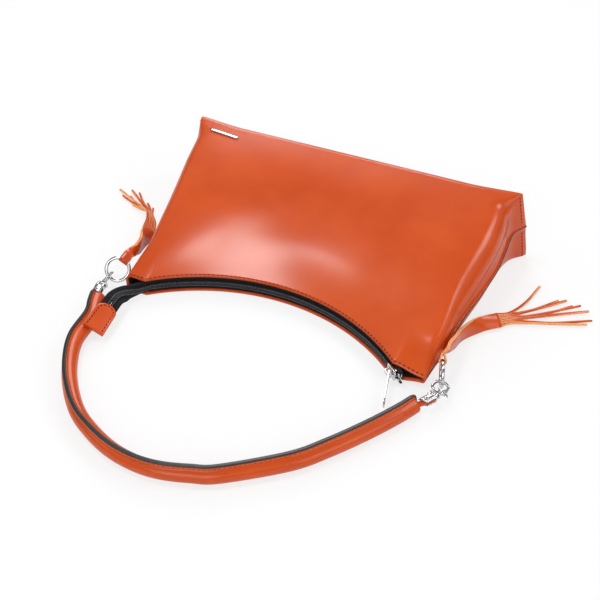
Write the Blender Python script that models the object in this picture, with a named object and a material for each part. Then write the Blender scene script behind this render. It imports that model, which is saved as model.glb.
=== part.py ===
"""Baguette bag, lying on its back with the handle laid out flat.

The bag lies on the XY plane: X runs along its width, +Y towards its bottom, +Z up through its front.
The origin is on the flat back panel. Sizes are named below in millimetres and scaled on the way out.
"""

import math

import bmesh
import bpy
from mathutils import Matrix, Vector

MM = 0.001
GAP = 0.3
FAR = 330.0

# Bag body
WIDTH_TOP = 262.0
WIDTH_BASE = 300.0
TOP_SHIFT = 1.5
MOUTH_Y = -95.0
BASE_Y = 88.0
MOUTH_DEPTH = 15.0
BASE_DEPTH = 69.0
BASE_LEAN = 0.14
BULGE = 0.07
CORNER_TOP = 6.5
CORNER_BASE = 8.5
BASE_ROUND = 6.0
PANEL = 1.6
LINING = 0.8

# Curved mouth: one circle carries both panel edges and the zip
ARC_X = -6.0
EDGE_R = WIDTH_TOP * 162 / 262
ARC_Y = MOUTH_Y - 0.75 * EDGE_R
EDGE_TO = 129.0
SHOULDER_LEFT_Y = -92.5
SHOULDER_RIGHT_Y = -98.5

# Zip
TAPE = 0.6
TAIL_HALF = 7.2
TAPE_TURN = 5.4
TAPE_R = EDGE_R + 2.3
TAPE_END = 43.4
ZIP_Z = MOUTH_DEPTH / 2
COIL_PITCH = 3.6
COIL_TOOTH = 1.2
COIL_HALF = 2.9
COIL_BASE = 1.2
COIL_TIP = 0.8
COIL_LOW = TAPE / 2 + 0.3
COIL_TOP = COIL_LOW + 1.8
SLIDER_AT = 46.4
SLIDER_LENGTH = 12.6
SLIDER_HALF = 4.7
PULL_LENGTH = 34.0
PULL_THICK = 1.3
TAB_LENGTH = 27.0
TAB_WIDTH = 16.6
TAB_THICK = 3.8

# Rings and tassels
RING_R = 9.5
RING_WIRE = 1.5
LOOP_WIDTH = 8.0
STRAP_WIDTH = 12.0
STRAP = 1.3
STRANDS = 8

# Handle
HANDLE_DROP = 132.6
ROLL_R = 5.8
ROLL_WALL = 1.3
FIN = 3.2
FIN_THICK = 2.4
FIN_LEAN_LEFT = 64.0
FIN_LEAN_RIGHT = 104.0
ROLL_Z = 6.0
PLUG = 10.0
STRIP = 2.6

# Handle fittings
CLAMP_LENGTH = 12.4
EAR_LENGTH = 3.6
CLAMP_SKEW_LEFT = 17.0
CLAMP_SKEW_RIGHT = 30.0
CLAMP_WIDTH = 7.0
CLAMP_PLATE = 1.0
KNUCKLE_R = 2.6
PIN_R = 0.9
EYE_WIDTH = 3.2
RIVET_R = 0.9
HOOK_REACH = 11.5
JAW_HALF = 4.2
JAW_BAR = 2.4
JAW_PLAY = 0.65

for old in list(bpy.data.objects):
    bpy.data.objects.remove(old, do_unlink=True)

bag = bpy.data.collections.new("baguette_bag")
tools = bpy.data.collections.new("cutters")
bpy.context.scene.collection.children.link(bag)
bpy.context.scene.collection.children.link(tools)

FINISHES = {
    "leather": ((0.60, 0.12, 0.035, 1.0), 0.35, 0.0),
    "edge": ((0.03, 0.015, 0.012, 1.0), 0.5, 0.0),
    "lining": ((0.012, 0.012, 0.014, 1.0), 0.8, 0.0),
    "tape": ((0.012, 0.012, 0.014, 1.0), 0.75, 0.0),
    "nylon": ((0.016, 0.016, 0.018, 1.0), 0.4, 0.0),
    "chrome": ((0.80, 0.80, 0.80, 1.0), 0.12, 1.0),
    "foam": ((0.75, 0.72, 0.62, 1.0), 0.9, 0.0),
}


def material(name):
    found = bpy.data.materials.get(name)
    if found:
        return found
    colour, rough, metal = FINISHES[name]
    made = bpy.data.materials.new(name)
    made.use_nodes = True
    shader = made.node_tree.nodes["Principled BSDF"]
    shader.inputs["Base Color"].default_value = colour
    shader.inputs["Roughness"].default_value = rough
    shader.inputs["Metallic"].default_value = metal
    made.diffuse_color = colour
    return made


def emit(name, bm, finish, smooth=True, cutter=False):
    """Turn a bmesh in millimetres into a named object in metres."""
    bmesh.ops.remove_doubles(bm, verts=bm.verts, dist=0.002)
    bmesh.ops.recalc_face_normals(bm, faces=bm.faces)
    bmesh.ops.scale(bm, vec=(MM, MM, MM), verts=bm.verts)
    mesh = bpy.data.meshes.new(name)
    bm.to_mesh(mesh)
    bm.free()
    if finish:
        mesh.materials.append(material(finish))
    for face in mesh.polygons:
        face.use_smooth = smooth
    made = bpy.data.objects.new(name, mesh)
    if cutter:
        tools.objects.link(made)
        made.hide_render = True
        made.display_type = "WIRE"
    else:
        bag.objects.link(made)
    return made


def apply(target):
    """Replace the object's mesh with what its modifiers make of it."""
    graph = bpy.context.evaluated_depsgraph_get()
    done = bpy.data.meshes.new_from_object(target.evaluated_get(graph))
    target.modifiers.clear()
    target.data = done
    for face in done.polygons:
        face.use_smooth = True


def boolean(target, cutters, operation="DIFFERENCE"):
    for cutter in cutters if isinstance(cutters, (list, tuple)) else [cutters]:
        step = target.modifiers.new("step", "BOOLEAN")
        step.solver = "EXACT"
        step.operation = operation
        step.object = cutter
        apply(target)
    return target


def drop(objects):
    for each in objects:
        bpy.data.objects.remove(each, do_unlink=True)


def loft(bm, rings, closed=False):
    """Skin rings of equal length; open lofts get an end face at each end."""
    rows = [[bm.verts.new(p) for p in ring] for ring in rings]
    count = len(rows[0])
    last = len(rows) if closed else len(rows) - 1
    for i in range(last):
        a, b = rows[i], rows[(i + 1) % len(rows)]
        for k in range(count):
            n = (k + 1) % count
            bm.faces.new((a[k], a[n], b[n], b[k]))
    if not closed:
        bm.faces.new(rows[0][::-1])
        bm.faces.new(rows[-1])
    return bm


def solid(name, rings, finish, closed=False, smooth=True, cutter=False):
    return emit(name, loft(bmesh.new(), rings, closed), finish, smooth, cutter)


def place(origin, u, v, points):
    return [origin + u * a + v * b for a, b in points]


def extrude(name, origin, u, v, outline, along, finish=None, smooth=False, cutter=False):
    """A prism: the outline drawn on u and v at the origin, carried along a vector."""
    near = place(origin, u, v, outline)
    return solid(name, [near, [p + along for p in near]], finish, smooth=smooth, cutter=cutter)


def box(name, centre, u, v, w, half, finish=None, cutter=True):
    """A box with half sizes along three unit vectors."""
    a, b, c = half
    outline = [(-a, -b), (a, -b), (a, b), (-a, b)]
    return extrude(name, centre - w * c, u, v, outline, w * (2 * c), finish, cutter=cutter)


def circle(radius, count, start=0.0, cx=0.0, cy=0.0):
    turn = 2 * math.pi / count
    return [
        (cx + radius * math.cos(start + turn * i), cy + radius * math.sin(start + turn * i))
        for i in range(count)
    ]


def rod(name, a, b, radius, count=12, finish=None, cutter=False):
    """A round bar between two points."""
    axis = (b - a).normalized()
    u = axis.orthogonal().normalized()
    v = axis.cross(u)
    ends = [place(p, u, v, circle(radius, count)) for p in (a, b)]
    return solid(name, ends, finish, cutter=cutter)


def lerp(a, b, t):
    return a + (b - a) * t


def ease(t):
    t = min(1.0, max(0.0, t))
    return t * t * (3 - 2 * t)


def spline(points, count):
    """Evenly spaced points on a smooth curve through the given ones."""
    pts = [Vector(p) for p in points]
    pts = [pts[0] * 2 - pts[1]] + pts + [pts[-1] * 2 - pts[-2]]
    fine = []
    for i in range(1, len(pts) - 2):
        p0, p1, p2, p3 = pts[i - 1 : i + 3]
        for k in range(24):
            t = k / 24
            fine.append(
                (
                    p1 * 2
                    + (p2 - p0) * t
                    + (p0 * 2 - p1 * 5 + p2 * 4 - p3) * t * t
                    + (p1 * 3 - p0 - p2 * 3 + p3) * t * t * t
                )
                * 0.5
            )
    fine.append(pts[-2].copy())
    run = [0.0]
    for a, b in zip(fine, fine[1:]):
        run.append(run[-1] + (b - a).length)
    out, j = [], 0
    for i in range(count):
        goal = run[-1] * i / (count - 1)
        while j < len(run) - 2 and run[j + 1] < goal:
            j += 1
        part = (goal - run[j]) / max(1e-9, run[j + 1] - run[j])
        out.append(fine[j].lerp(fine[j + 1], min(1.0, part)))
    return out


def directions(path):
    """Unit directions of travel at each point of a path."""
    out = []
    for i in range(len(path)):
        a, b = path[max(0, i - 1)], path[min(len(path) - 1, i + 1)]
        out.append((b - a).normalized())
    return out


X, Y, Z = Vector((1, 0, 0)), Vector((0, 1, 0)), Vector((0, 0, 1))
MOUTH_LEFT = TOP_SHIFT - WIDTH_TOP / 2
MOUTH_RIGHT = TOP_SHIFT + WIDTH_TOP / 2


# Bag body: rounded sections that widen and deepen from the mouth to the base
def depth_at(s):
    t = min(1.0, max(0.0, s))
    return lerp(MOUTH_DEPTH, BASE_DEPTH, s) + BULGE * (BASE_DEPTH - MOUTH_DEPTH) * math.sin(math.pi * t)


def mouth_line(x):
    """How far back the mouth's edge lies at this place across the bag."""
    reach = EDGE_R**2 - (x - ARC_X) ** 2
    curve = ARC_Y + math.sqrt(reach) if reach > 0 else -500.0
    shoulder = lerp(SHOULDER_LEFT_Y, SHOULDER_RIGHT_Y, (x / WIDTH_TOP) + 0.5)
    return max(curve, shoulder)


def section(s, inset, base_y=None):
    """One ring round the bag: s runs from 0 at the mouth's edge to 1 at the base."""
    half = lerp(WIDTH_TOP, WIDTH_BASE, s) / 2 - inset
    cx = TOP_SHIFT * (1 - s)
    low, high = inset, depth_at(s) - inset
    radius = max(0.6, min(lerp(CORNER_TOP, CORNER_BASE, s) - inset, (high - low) / 2 - 0.2))
    points = []
    corners = ((1, low, -90), (1, high, 0), (-1, high, 90), (-1, low, 180))
    for index, (side, edge, start) in enumerate(corners):
        centre_x = side * (half - radius)
        centre_z = edge + radius if edge == low else edge - radius
        for k in range(4):
            turn = math.radians(start + 30 * k)
            points.append((centre_x + radius * math.cos(turn), centre_z + radius * math.sin(turn)))
        if index == 1:
            span = 2 * (half - radius)
            for k in range(1, 12):
                points.append((side * (half - radius) - side * span * k / 12, edge))
        elif index != 3:
            points.append((side * half, (low + high) / 2))
    crown = 3.0 * math.sin(math.pi * min(1.0, max(0.0, s)))
    out = []
    for px, pz in points:
        if pz > high - 0.01:
            pz += crown * (1 - (px / half) ** 2)
        lean = BASE_LEAN * min(1.0, max(0.0, s))
        y = base_y
        if y is None:
            front = mouth_line(TOP_SHIFT + px / half * WIDTH_TOP / 2)
            y = front + s * (BASE_Y - (front if s > 0 else MOUTH_Y))
        out.append(Vector((cx + px, y - lean * pz, pz)))
    return out


def body_solid(name, inset, start, cutter=True):
    last = (BASE_Y - BASE_ROUND - MOUTH_Y) / (BASE_Y - MOUTH_Y)
    rings = [section(start, inset)] if start < -0.04 else []
    rings += [section(lerp(-0.035, last, i / 8), inset) for i in range(9)]
    rounding = BASE_ROUND - inset
    for angle in (30, 60, 84):
        a = math.radians(angle)
        more = rounding * (1 - math.cos(a))
        y = BASE_Y - BASE_ROUND + rounding * math.sin(a)
        rings.append(section(last, inset + more, y))
    return solid(name, rings, "leather", cutter=cutter)


def mouth_cut(name, radius, recess):
    """Everything in front of the mouth line, seen from above."""
    points = [(-FAR, -FAR), (FAR, -FAR), (FAR, SHOULDER_RIGHT_Y + recess)]
    first = Vector((ARC_X, ARC_Y, 0))
    low = math.degrees(math.asin((SHOULDER_RIGHT_Y + recess - ARC_Y) / radius))
    high = 180 - math.degrees(math.asin((SHOULDER_LEFT_Y + recess - ARC_Y) / radius))
    for i in range(25):
        a = math.radians(lerp(low, high, i / 24))
        points.append((first.x + radius * math.cos(a), first.y + radius * math.sin(a)))
    points.append((-FAR, SHOULDER_LEFT_Y + recess))
    return extrude(name, Vector((0, 0, -20)), X, Y, points, Z * 140, cutter=True)


def half_space(name, below, gap):
    """The space on one side of the seam, which runs up the middle of the gussets and the base."""
    slope = (BASE_DEPTH - MOUTH_DEPTH) / 2 / (BASE_Y - MOUTH_Y)
    rings = []
    for x in (-FAR, -119.0, -104.0, 104.0, 119.0, FAR):
        ring = []
        for y in (-FAR, MOUTH_Y, -60.0, -20.0, 30.0, BASE_Y - 20.0, FAR):
            rise = max(0.0, y - MOUTH_Y) * slope
            if abs(x) < 110 and y < 40:
                rise = 0.0
            ring.append(Vector((x, y, ZIP_Z + rise + (gap if below else -gap))))
        edge = -FAR if below else FAR
        ring += [Vector((x, FAR, edge)), Vector((x, -FAR, edge))]
        rings.append(ring)
    return solid(name, rings, None, cutter=True)


outer = body_solid("outer", 0.0, -0.07)
inner = body_solid("inner", PANEL, -0.09)
mouth = mouth_cut("mouth", EDGE_R, 0.0)
for part, above in (("front_panel", True), ("back_panel", False)):
    panel = outer.copy()
    panel.data = outer.data.copy()
    panel.name = part
    panel.hide_render = False
    panel.display_type = "TEXTURED"
    bag.objects.link(panel)
    side = half_space("side", above, GAP / 2)
    boolean(panel, [inner, mouth, side])
    drop([side])

lining = body_solid("lining", PANEL + GAP, -0.03, cutter=False)
hollow = body_solid("hollow", PANEL + GAP + LINING, -0.09)
recess = mouth_cut("recess", TAPE_R + 8.6, 9.0)
boolean(lining, [hollow, recess])
lining.data.materials.clear()
lining.data.materials.append(material("lining"))
drop([outer, inner, mouth, hollow, recess])


# Zip path: along the mouth's circle, then out past the left corner to the leather end tab
def on_arc(angle, radius=TAPE_R, z=ZIP_Z):
    a = math.radians(angle)
    return Vector((ARC_X + radius * math.cos(a), ARC_Y + radius * math.sin(a), z))


ARC_END = on_arc(EDGE_TO)
TAIL = [on_arc(EDGE_TO - 4), ARC_END]
for east, north, rise in (
    (-7.2, -10.2, 0.0),
    (-11.2, -19.2, 2.2),
    (-12.2, -28.2, 5.0),
    (-11.6, -34.2, 6.1),
    (-11.2, -39.2, 5.6),
    (-10.4, -49.2, 4.6),
    (-9.28, -63.2, 3.2),
):
    TAIL.append(ARC_END + Vector((east, north, rise)))
TAB_TILT = math.radians(28)


def zip_stations(step, tail_step):
    """Points along the zip with the tape's width and face directions, and how far it lies flat."""
    out = []
    count = int((EDGE_TO - TAPE_END) / math.degrees(step / TAPE_R))
    for i in range(count):
        angle = lerp(TAPE_END, EDGE_TO, i / count)
        point = on_arc(angle)
        face = Vector((ARC_X - point.x, ARC_Y - point.y, 0)).normalized()
        out.append((point, Z.copy(), face, 0.0, angle))
    tail = spline(TAIL[1:], int(68 / tail_step))
    ways = directions(tail)
    first = Vector((-math.sin(math.radians(EDGE_TO)), math.cos(math.radians(EDGE_TO)), 0))
    ways[0] = first
    for i, (point, way) in enumerate(zip(tail, ways)):
        t = i / (len(tail) - 1)
        turn = ease((t - 0.08) / 0.40) * (math.pi / 2 - TAB_TILT)
        left = Z.cross(way).normalized() * -1
        up = way.cross(left).normalized() * -1
        if up.z < 0:
            up = -up
        width = up * math.cos(turn) + left * math.sin(turn)
        face = width.cross(way).normalized()
        flat = ease((t - 0.20) / 0.28)
        out.append((point, width, face, flat, 180.0))
    return out


def tape(name, side):
    rings = []
    for point, width, face, flat, angle in zip_stations(6.0, 2.2):
        parted = 1.45 * ease((SLIDER_AT + 1.2 - angle) / 1.6)
        edge = 0.15 + parted
        h = TAPE / 2
        turn = TAPE_TURN
        deep = lerp(7.4, 2.2, max(ease((angle - 114) / 9), ease((52 - angle) / 5)))
        folded = [(edge, h), (turn, h), (turn, -deep), (turn - TAPE, -deep), (turn - TAPE, -h), (edge, -h)]
        flat_way = [(edge, h), (6.0, h), (TAIL_HALF, h), (TAIL_HALF, -h), (6.0, -h), (edge, -h)]
        ring = []
        for a, b in zip(folded, flat_way):
            w, n = lerp(a[0], b[0], flat), lerp(a[1], b[1], flat)
            ring.append(point + width * (side * w) + face * n)
        rings.append(ring)
    return solid(name, rings, "tape", smooth=False)


def coil(name, side, shift):
    """One row of the zip: a ridge with a tooth every pitch, as a comb drawn along the path."""
    fine = zip_stations(1.0, 1.0)
    run = [0.0]
    for a, b in zip(fine, fine[1:]):
        run.append(run[-1] + (b[0] - a[0]).length)
    start = math.radians(SLIDER_AT + 0.4 - TAPE_END) * TAPE_R
    end = run[-1] - TAB_LENGTH - 1.0

    def at(distance):
        j = 0
        low, high = 0, len(run) - 2
        while low < high:
            j = (low + high + 1) // 2
            if run[j] <= distance:
                low = j
            else:
                high = j - 1
        t = (distance - run[low]) / (run[low + 1] - run[low])
        a, b = fine[low], fine[low + 1]
        return [a[k].lerp(b[k], t) for k in range(3)]

    bm = bmesh.new()
    rows = []
    teeth = int((end - start) / COIL_PITCH)
    for i in range(teeth):
        base = start + i * COIL_PITCH + shift * COIL_PITCH
        for offset, tip in ((0.0, True), (COIL_TOOTH, True), (COIL_PITCH, False)):
            if not tip and i < teeth - 1:
                continue
            point, width, face = at(base + offset)
            marks = [COIL_HALF, COIL_HALF - COIL_BASE] + ([-COIL_TIP] if tip else [])
            rows.append(
                [
                    [bm.verts.new(point + width * (side * m) + face * n) for m in marks]
                    for n in (COIL_LOW, COIL_TOP)
                ]
            )
    for i in range(len(rows) - 1):
        (a0, a1), (b0, b1) = rows[i], rows[i + 1]
        bm.faces.new((a0[0], b0[0], b0[1], a0[1]))
        bm.faces.new((a1[0], a1[1], b1[1], b1[0]))
        bm.faces.new((a0[0], a1[0], b1[0], b0[0]))
        if i % 2 == 0:
            bm.faces.new((a0[1], b0[1], b0[2], a0[2]))
            bm.faces.new((a1[1], a1[2], b1[2], b1[1]))
            bm.faces.new((a0[2], b0[2], b1[2], a1[2]))
            bm.faces.new((a0[1], a0[2], a1[2], a1[1]))
            bm.faces.new((b0[1], b1[1], b1[2], b0[2]))
        else:
            bm.faces.new((a0[1], b0[1], b1[1], a1[1]))
    for row in (rows[0], rows[-1]):
        bm.faces.new((row[0][0], row[0][1], row[1][1], row[1][0]))
    return emit(name, bm, "nylon", smooth=False)


tape("zip_tape_front", 1)
tape("zip_tape_back", -1)
coil("zip_coil_front", 1, 0.0)
coil("zip_coil_back", -1, 0.5)

# Slider: two plates joined by a post, with side walls that guide the coil, and a bridge for the pull
seat = on_arc(SLIDER_AT)
nose = Vector((math.sin(math.radians(SLIDER_AT)), -math.cos(math.radians(SLIDER_AT)), 0))
out_way = Vector((-math.cos(math.radians(SLIDER_AT)), -math.sin(math.radians(SLIDER_AT)), 0))
HALF = SLIDER_LENGTH / 2
PLATE_TOP = COIL_TOP + GAP
shield = [
    (-HALF, -3.6),
    (-HALF + 0.8, -SLIDER_HALF + 0.4),
    (1.0, -SLIDER_HALF + 0.4),
    (HALF - 2.6, -SLIDER_HALF),
    (HALF - 1.0, -SLIDER_HALF + 0.5),
    (HALF, -2.6),
    (HALF - 0.8, 0.0),
    (HALF, 2.6),
    (HALF - 1.0, SLIDER_HALF - 0.5),
    (HALF - 2.6, SLIDER_HALF),
    (1.0, SLIDER_HALF - 0.4),
    (-HALF + 0.8, SLIDER_HALF - 0.4),
    (-HALF, 3.6),
]
slider = extrude("zip_slider", seat + out_way * PLATE_TOP, nose, Z, shield, out_way * 1.1, "chrome")
low_plate = extrude("low", seat - out_way * 0.65, nose, Z, shield, out_way * -1.1, "chrome", cutter=True)
wedge = [(0.6, 0.0), (2.4, -1.0), (HALF - 1.6, -1.15), (HALF - 0.7, 0.0), (HALF - 1.6, 1.15), (2.4, 1.0)]
post = extrude("post", seat - out_way * 1.0, nose, Z, wedge, out_way * (PLATE_TOP + 1.6), "chrome", cutter=True)
pieces = [low_plate, post]
for side in (-1, 1):
    rail = [
        (-HALF + 0.9, side * (SLIDER_HALF - 1.3)),
        (HALF - 2.2, side * (SLIDER_HALF - 1.3)),
        (HALF - 2.2, side * (SLIDER_HALF - 0.45)),
        (-HALF + 0.9, side * (SLIDER_HALF - 0.45)),
    ]
    pieces.append(
        extrude(
            "rail", seat + out_way * (TAPE / 2 + 0.3), nose, Z, rail, out_way * (PLATE_TOP - TAPE / 2), cutter=True
        )
    )
bridge_out = [(-4.7, 0.6), (-4.5, 3.2), (-3.0, 5.1), (2.6, 5.1), (4.3, 3.2), (4.7, 0.6)]
bridge_in = [(3.5, 0.6), (3.2, 2.9), (2.2, 4.0), (-2.5, 4.0), (-3.4, 2.9), (-3.7, 0.6)]
arch = seat + out_way * PLATE_TOP - Z * 1.2
pieces.append(extrude("bridge", arch, nose, out_way, bridge_out + bridge_in, Z * 2.4, cutter=True))
boolean(slider, pieces, "UNION")
drop(pieces)

# Pull: a stamped plate with a long eye round the bridge and a small three-sided hole at its end
PIVOT = seat + out_way * (PLATE_TOP + 2.5)
PULL_TURN = math.radians(58)
hang = Matrix.Rotation(PULL_TURN, 3, "Z") @ out_way
across = Matrix.Rotation(math.pi / 2, 3, "Z") @ hang
pull_line = [
    (-0.8, -2.2),
    (-0.2, -2.8),
    (9.0, -3.0),
    (PULL_LENGTH - 3.5, -4.3),
    (PULL_LENGTH - 1.2, -3.6),
    (PULL_LENGTH, -1.4),
    (PULL_LENGTH, 1.4),
    (PULL_LENGTH - 1.2, 3.6),
    (PULL_LENGTH - 3.5, 4.3),
    (9.0, 3.0),
    (-0.2, 2.8),
    (-0.8, 2.2),
]
face_at = PIVOT - across * (PULL_THICK / 2)
pull = extrude("zip_pull", face_at, hang, Z, pull_line, across * PULL_THICK, "chrome")
eye = [(0.75, -1.6), (9.8, -1.7), (10.8, -0.9), (10.8, 0.9), (9.8, 1.7), (0.75, 1.6)]
hole = [(PULL_LENGTH - 6.4, 0.0), (PULL_LENGTH - 2.2, -2.0), (PULL_LENGTH - 2.2, 2.0)]
cuts = [
    extrude("cut", face_at - across * 2, hang, Z, shape, across * (PULL_THICK + 4), cutter=True)
    for shape in (eye, hole)
]
boolean(pull, cuts)
drop(cuts)

# End stops clamped on the two tape edges just past the slider
for part, side in (("zip_stop_front", 1), ("zip_stop_back", -1)):
    centre = on_arc(TAPE_END + 0.42) + Z * (side * 2.3)
    stop = box(part, centre, nose, Z, out_way, (0.9, 1.35, 1.4), "chrome", cutter=False)
    slot = box("slot", centre + Z * (side * 1.1), nose, Z, out_way, (2.0, 2.0, TAPE / 2 + 0.2))
    boolean(stop, slot)
    drop([slot])

# Leather end tab: folded over the tape's free end, open at the near side
tail_end = zip_stations(6.0, 2.2)[-1]
end_point, end_width, end_face = tail_end[0], tail_end[1], tail_end[2]
end_way = (TAIL[-1] - TAIL[-2]).normalized()
near_mid = end_point - end_way * (TAB_LENGTH - 4.0)
outline = [(TAB_LENGTH, -TAB_WIDTH / 2 - 0.6), (TAB_LENGTH, TAB_WIDTH / 2 + 0.6)]
for i in range(9):
    a = math.radians(78 - 156 * i / 8)
    outline.append((7.0 - 7.0 * math.cos(a), TAB_WIDTH / 2 * math.sin(a) / math.sin(math.radians(78))))
tab_base = near_mid - end_face * (TAB_THICK / 2)
end_tab = extrude("zip_end_tab", tab_base, end_way, end_width, outline, end_face * TAB_THICK, "leather")
pocket_mid = near_mid + end_way * ((TAB_LENGTH - 16.0) / 2)
pocket_half = ((TAB_LENGTH + 10.0) / 2, 20.0, TAPE / 2 + GAP)
pocket = box("pocket", pocket_mid, end_way, end_width, end_face, pocket_half)
boolean(end_tab, pocket)
drop([pocket])

# Rings, each lying the way it fell
VIEW = Vector((0.324, -0.694, 0.643)).normalized()
RINGS = {
    "left": {
        "centre": Vector((MOUTH_LEFT - 12.9, MOUTH_Y + 10.5, 10.3)),
        "normal": VIEW,
        "hook": Vector((-0.562, -0.688, -0.46)),
        "loop": Vector((0.305, 0.717, 0.62)),
        "roll_from": (2.5, -33.1),
    },
    "right": {
        "centre": Vector((MOUTH_RIGHT + 7.7, MOUTH_Y + 5.1, 11.3)),
        "normal": Vector((0.94, 0.34, 0.0)).normalized(),
        "hook": Vector((0.41, -0.86, -0.30)),
        "loop": Vector((-0.272, 0.583, 0.766)),
        "roll_from": (-8.5, -33.2),
    },
}
for data in RINGS.values():
    n = data["normal"]
    for key in ("hook", "loop"):
        v = data[key]
        data[key] = (v - n * v.dot(n)).normalized()
    east, north = data["roll_from"]
    data["roll_end"] = Vector((data["centre"].x + east, data["centre"].y + north, ROLL_Z))


def ring_rings(data, wire, count, gap=0.0):
    u = data["hook"].cross(data["normal"]).normalized()
    v = data["normal"].cross(u)
    out = []
    for i in range(count):
        a = 2 * math.pi * i / count if gap == 0 else lerp(gap, 2 * math.pi - gap, i / (count - 1))
        ray = u * math.cos(a) + v * math.sin(a)
        centre = data["centre"] + ray * RING_R
        out.append(place(centre, ray, data["normal"], circle(wire, 8)))
    return out


for side, data in RINGS.items():
    solid("ring_" + side, ring_rings(data, RING_WIRE, 29, 0.012), "chrome")


# Tassels: one strip folded round the ring, then cut into strands
def ribbon(path, widths, halves, thick):
    """Rings of a flat strip along a path; widths gives the direction across it at each point."""
    out = []
    for point, way, width, half_width in zip(path, directions(path), widths, halves):
        across_way = (width - way * width.dot(way)).normalized()
        rise = way.cross(across_way)
        out.append(
            place(
                point,
                across_way,
                rise,
                [(-half_width, -thick), (half_width, -thick), (half_width, thick), (-half_width, thick)],
            )
        )
    return out


TASSELS = {
    "left": {
        "stem": [(0.9, 18.5, 3.2), (-2.6, 36.5, -2.3), (-8.6, 56.5, -6.3), (-15.6, 72.5, -7.3)],
        "tips": [
            (-27.6, 98.5),
            (-35.6, 102.5),
            (-46.4, 94.7),
            (-55.1, 105.0),
            (-51.0, 113.5),
            (-63.6, 104.5),
            (-71.2, 111.4),
            (-60.6, 115.5),
        ],
        "bend": 0.30,
    },
    "right": {
        "stem": [(2.4, 17.9, 5.7), (4.0, 35.9, -0.3), (7.8, 59.9, -5.3), (18.8, 80.9, -7.8)],
        "tips": [
            (37.6, 141.1),
            (55.8, 129.9),
            (61.9, 131.8),
            (67.8, 127.4),
            (73.4, 131.5),
            (81.0, 126.0),
            (85.7, 116.5),
            (82.8, 110.8),
        ],
        "bend": -0.16,
    },
}


def tassel(side):
    data, form = RINGS[side], TASSELS[side]
    tangent = data["normal"].cross(data["loop"]).normalized()
    rho = data["loop"]
    lateral = data["normal"]
    at_ring = data["centre"] + rho * RING_R
    wrap = RING_WIRE + GAP + STRAP
    profile = []
    for i in range(11):
        a = math.radians(60 + 240 * i / 10)
        profile.append((wrap * math.cos(a), wrap * math.sin(a)))
    profile += [(7.0, -STRAP), (10.0, -STRAP), (10.0, STRAP), (7.0, STRAP)]
    made = extrude(
        "tassel_" + side, at_ring - tangent * (LOOP_WIDTH / 2), rho, lateral, profile, tangent * LOOP_WIDTH, "leather"
    )
    throat = solid("throat", ring_rings(data, RING_WIRE + GAP + 0.05, 28), None, closed=True, cutter=True)
    boolean(made, throat)
    drop([throat])
    start = at_ring + rho * 8.6
    places = [data["centre"] + Vector(p) for p in form["stem"]]
    stem_points = [start, start.lerp(places[0], 0.5) + rho * 1.0] + places
    stem_path = spline(stem_points, 9)
    flat_side = 1 if tangent.dot(X) > 0 else -1
    widths = []
    for i, way in enumerate(directions(stem_path)):
        level = Z.cross(way).normalized() * -flat_side
        if level.dot(tangent) < 0:
            level = -level
        widths.append(tangent.lerp(level, ease(i / 5)).normalized())
    halves = [lerp(LOOP_WIDTH / 2 - 0.15, STRAP_WIDTH / 2, ease(i / 3)) for i in range(len(stem_path))]
    stem = solid("stem", ribbon(stem_path, widths, halves, STRAP - 0.06), "leather", cutter=True)
    end, end_way = stem_path[-1], directions(stem_path)[-1]
    end_across = widths[-1]
    strands = []
    spread = STRAP_WIDTH - 1.6
    tips = [(data["centre"].x + east, data["centre"].y + north) for east, north in form["tips"]]
    order = sorted(tips, key=lambda tip: (Vector((tip[0], tip[1], 0)) - end).normalized().dot(end_across))
    for i, tip in enumerate(order):
        offset = -spread / 2 + spread * i / (STRANDS - 1)
        root = end + end_across * offset - end_way * 2.0
        goal = Vector((tip[0], tip[1], 1.4 + 0.5 * (i % 3)))
        middle = root.lerp(goal, 0.5) + (goal - root).cross(Z) * form["bend"] * 0.6
        middle.z = 2.0 + 0.3 * (i % 2)
        strand_path = spline([root, middle, goal], 6)
        side_way = [Z.cross(w) for w in directions(strand_path)]
        strands.append(solid("strand", ribbon(strand_path, side_way, [0.95] * 6, 0.62), "leather", cutter=True))
    boolean(made, [stem] + strands, "UNION")
    drop([stem] + strands)
    return made


tassel("left")
tassel("right")

# Handle fittings: knuckle line through both hooks, which is also the line the handle swings about
for data in RINGS.values():
    data["contact"] = data["centre"] + data["hook"] * RING_R
SWING = (RINGS["right"]["contact"] - RINGS["left"]["contact"]).normalized()
for data in RINGS.values():
    chain = data["contact"] - data["roll_end"]
    lean = 0.15 if chain.dot(SWING) > 0 else -0.15
    data["reach"] = (Z.cross(SWING).normalized() + SWING * lean).normalized()
    data["knuckle"] = data["contact"] - data["reach"] * HOOK_REACH


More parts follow.
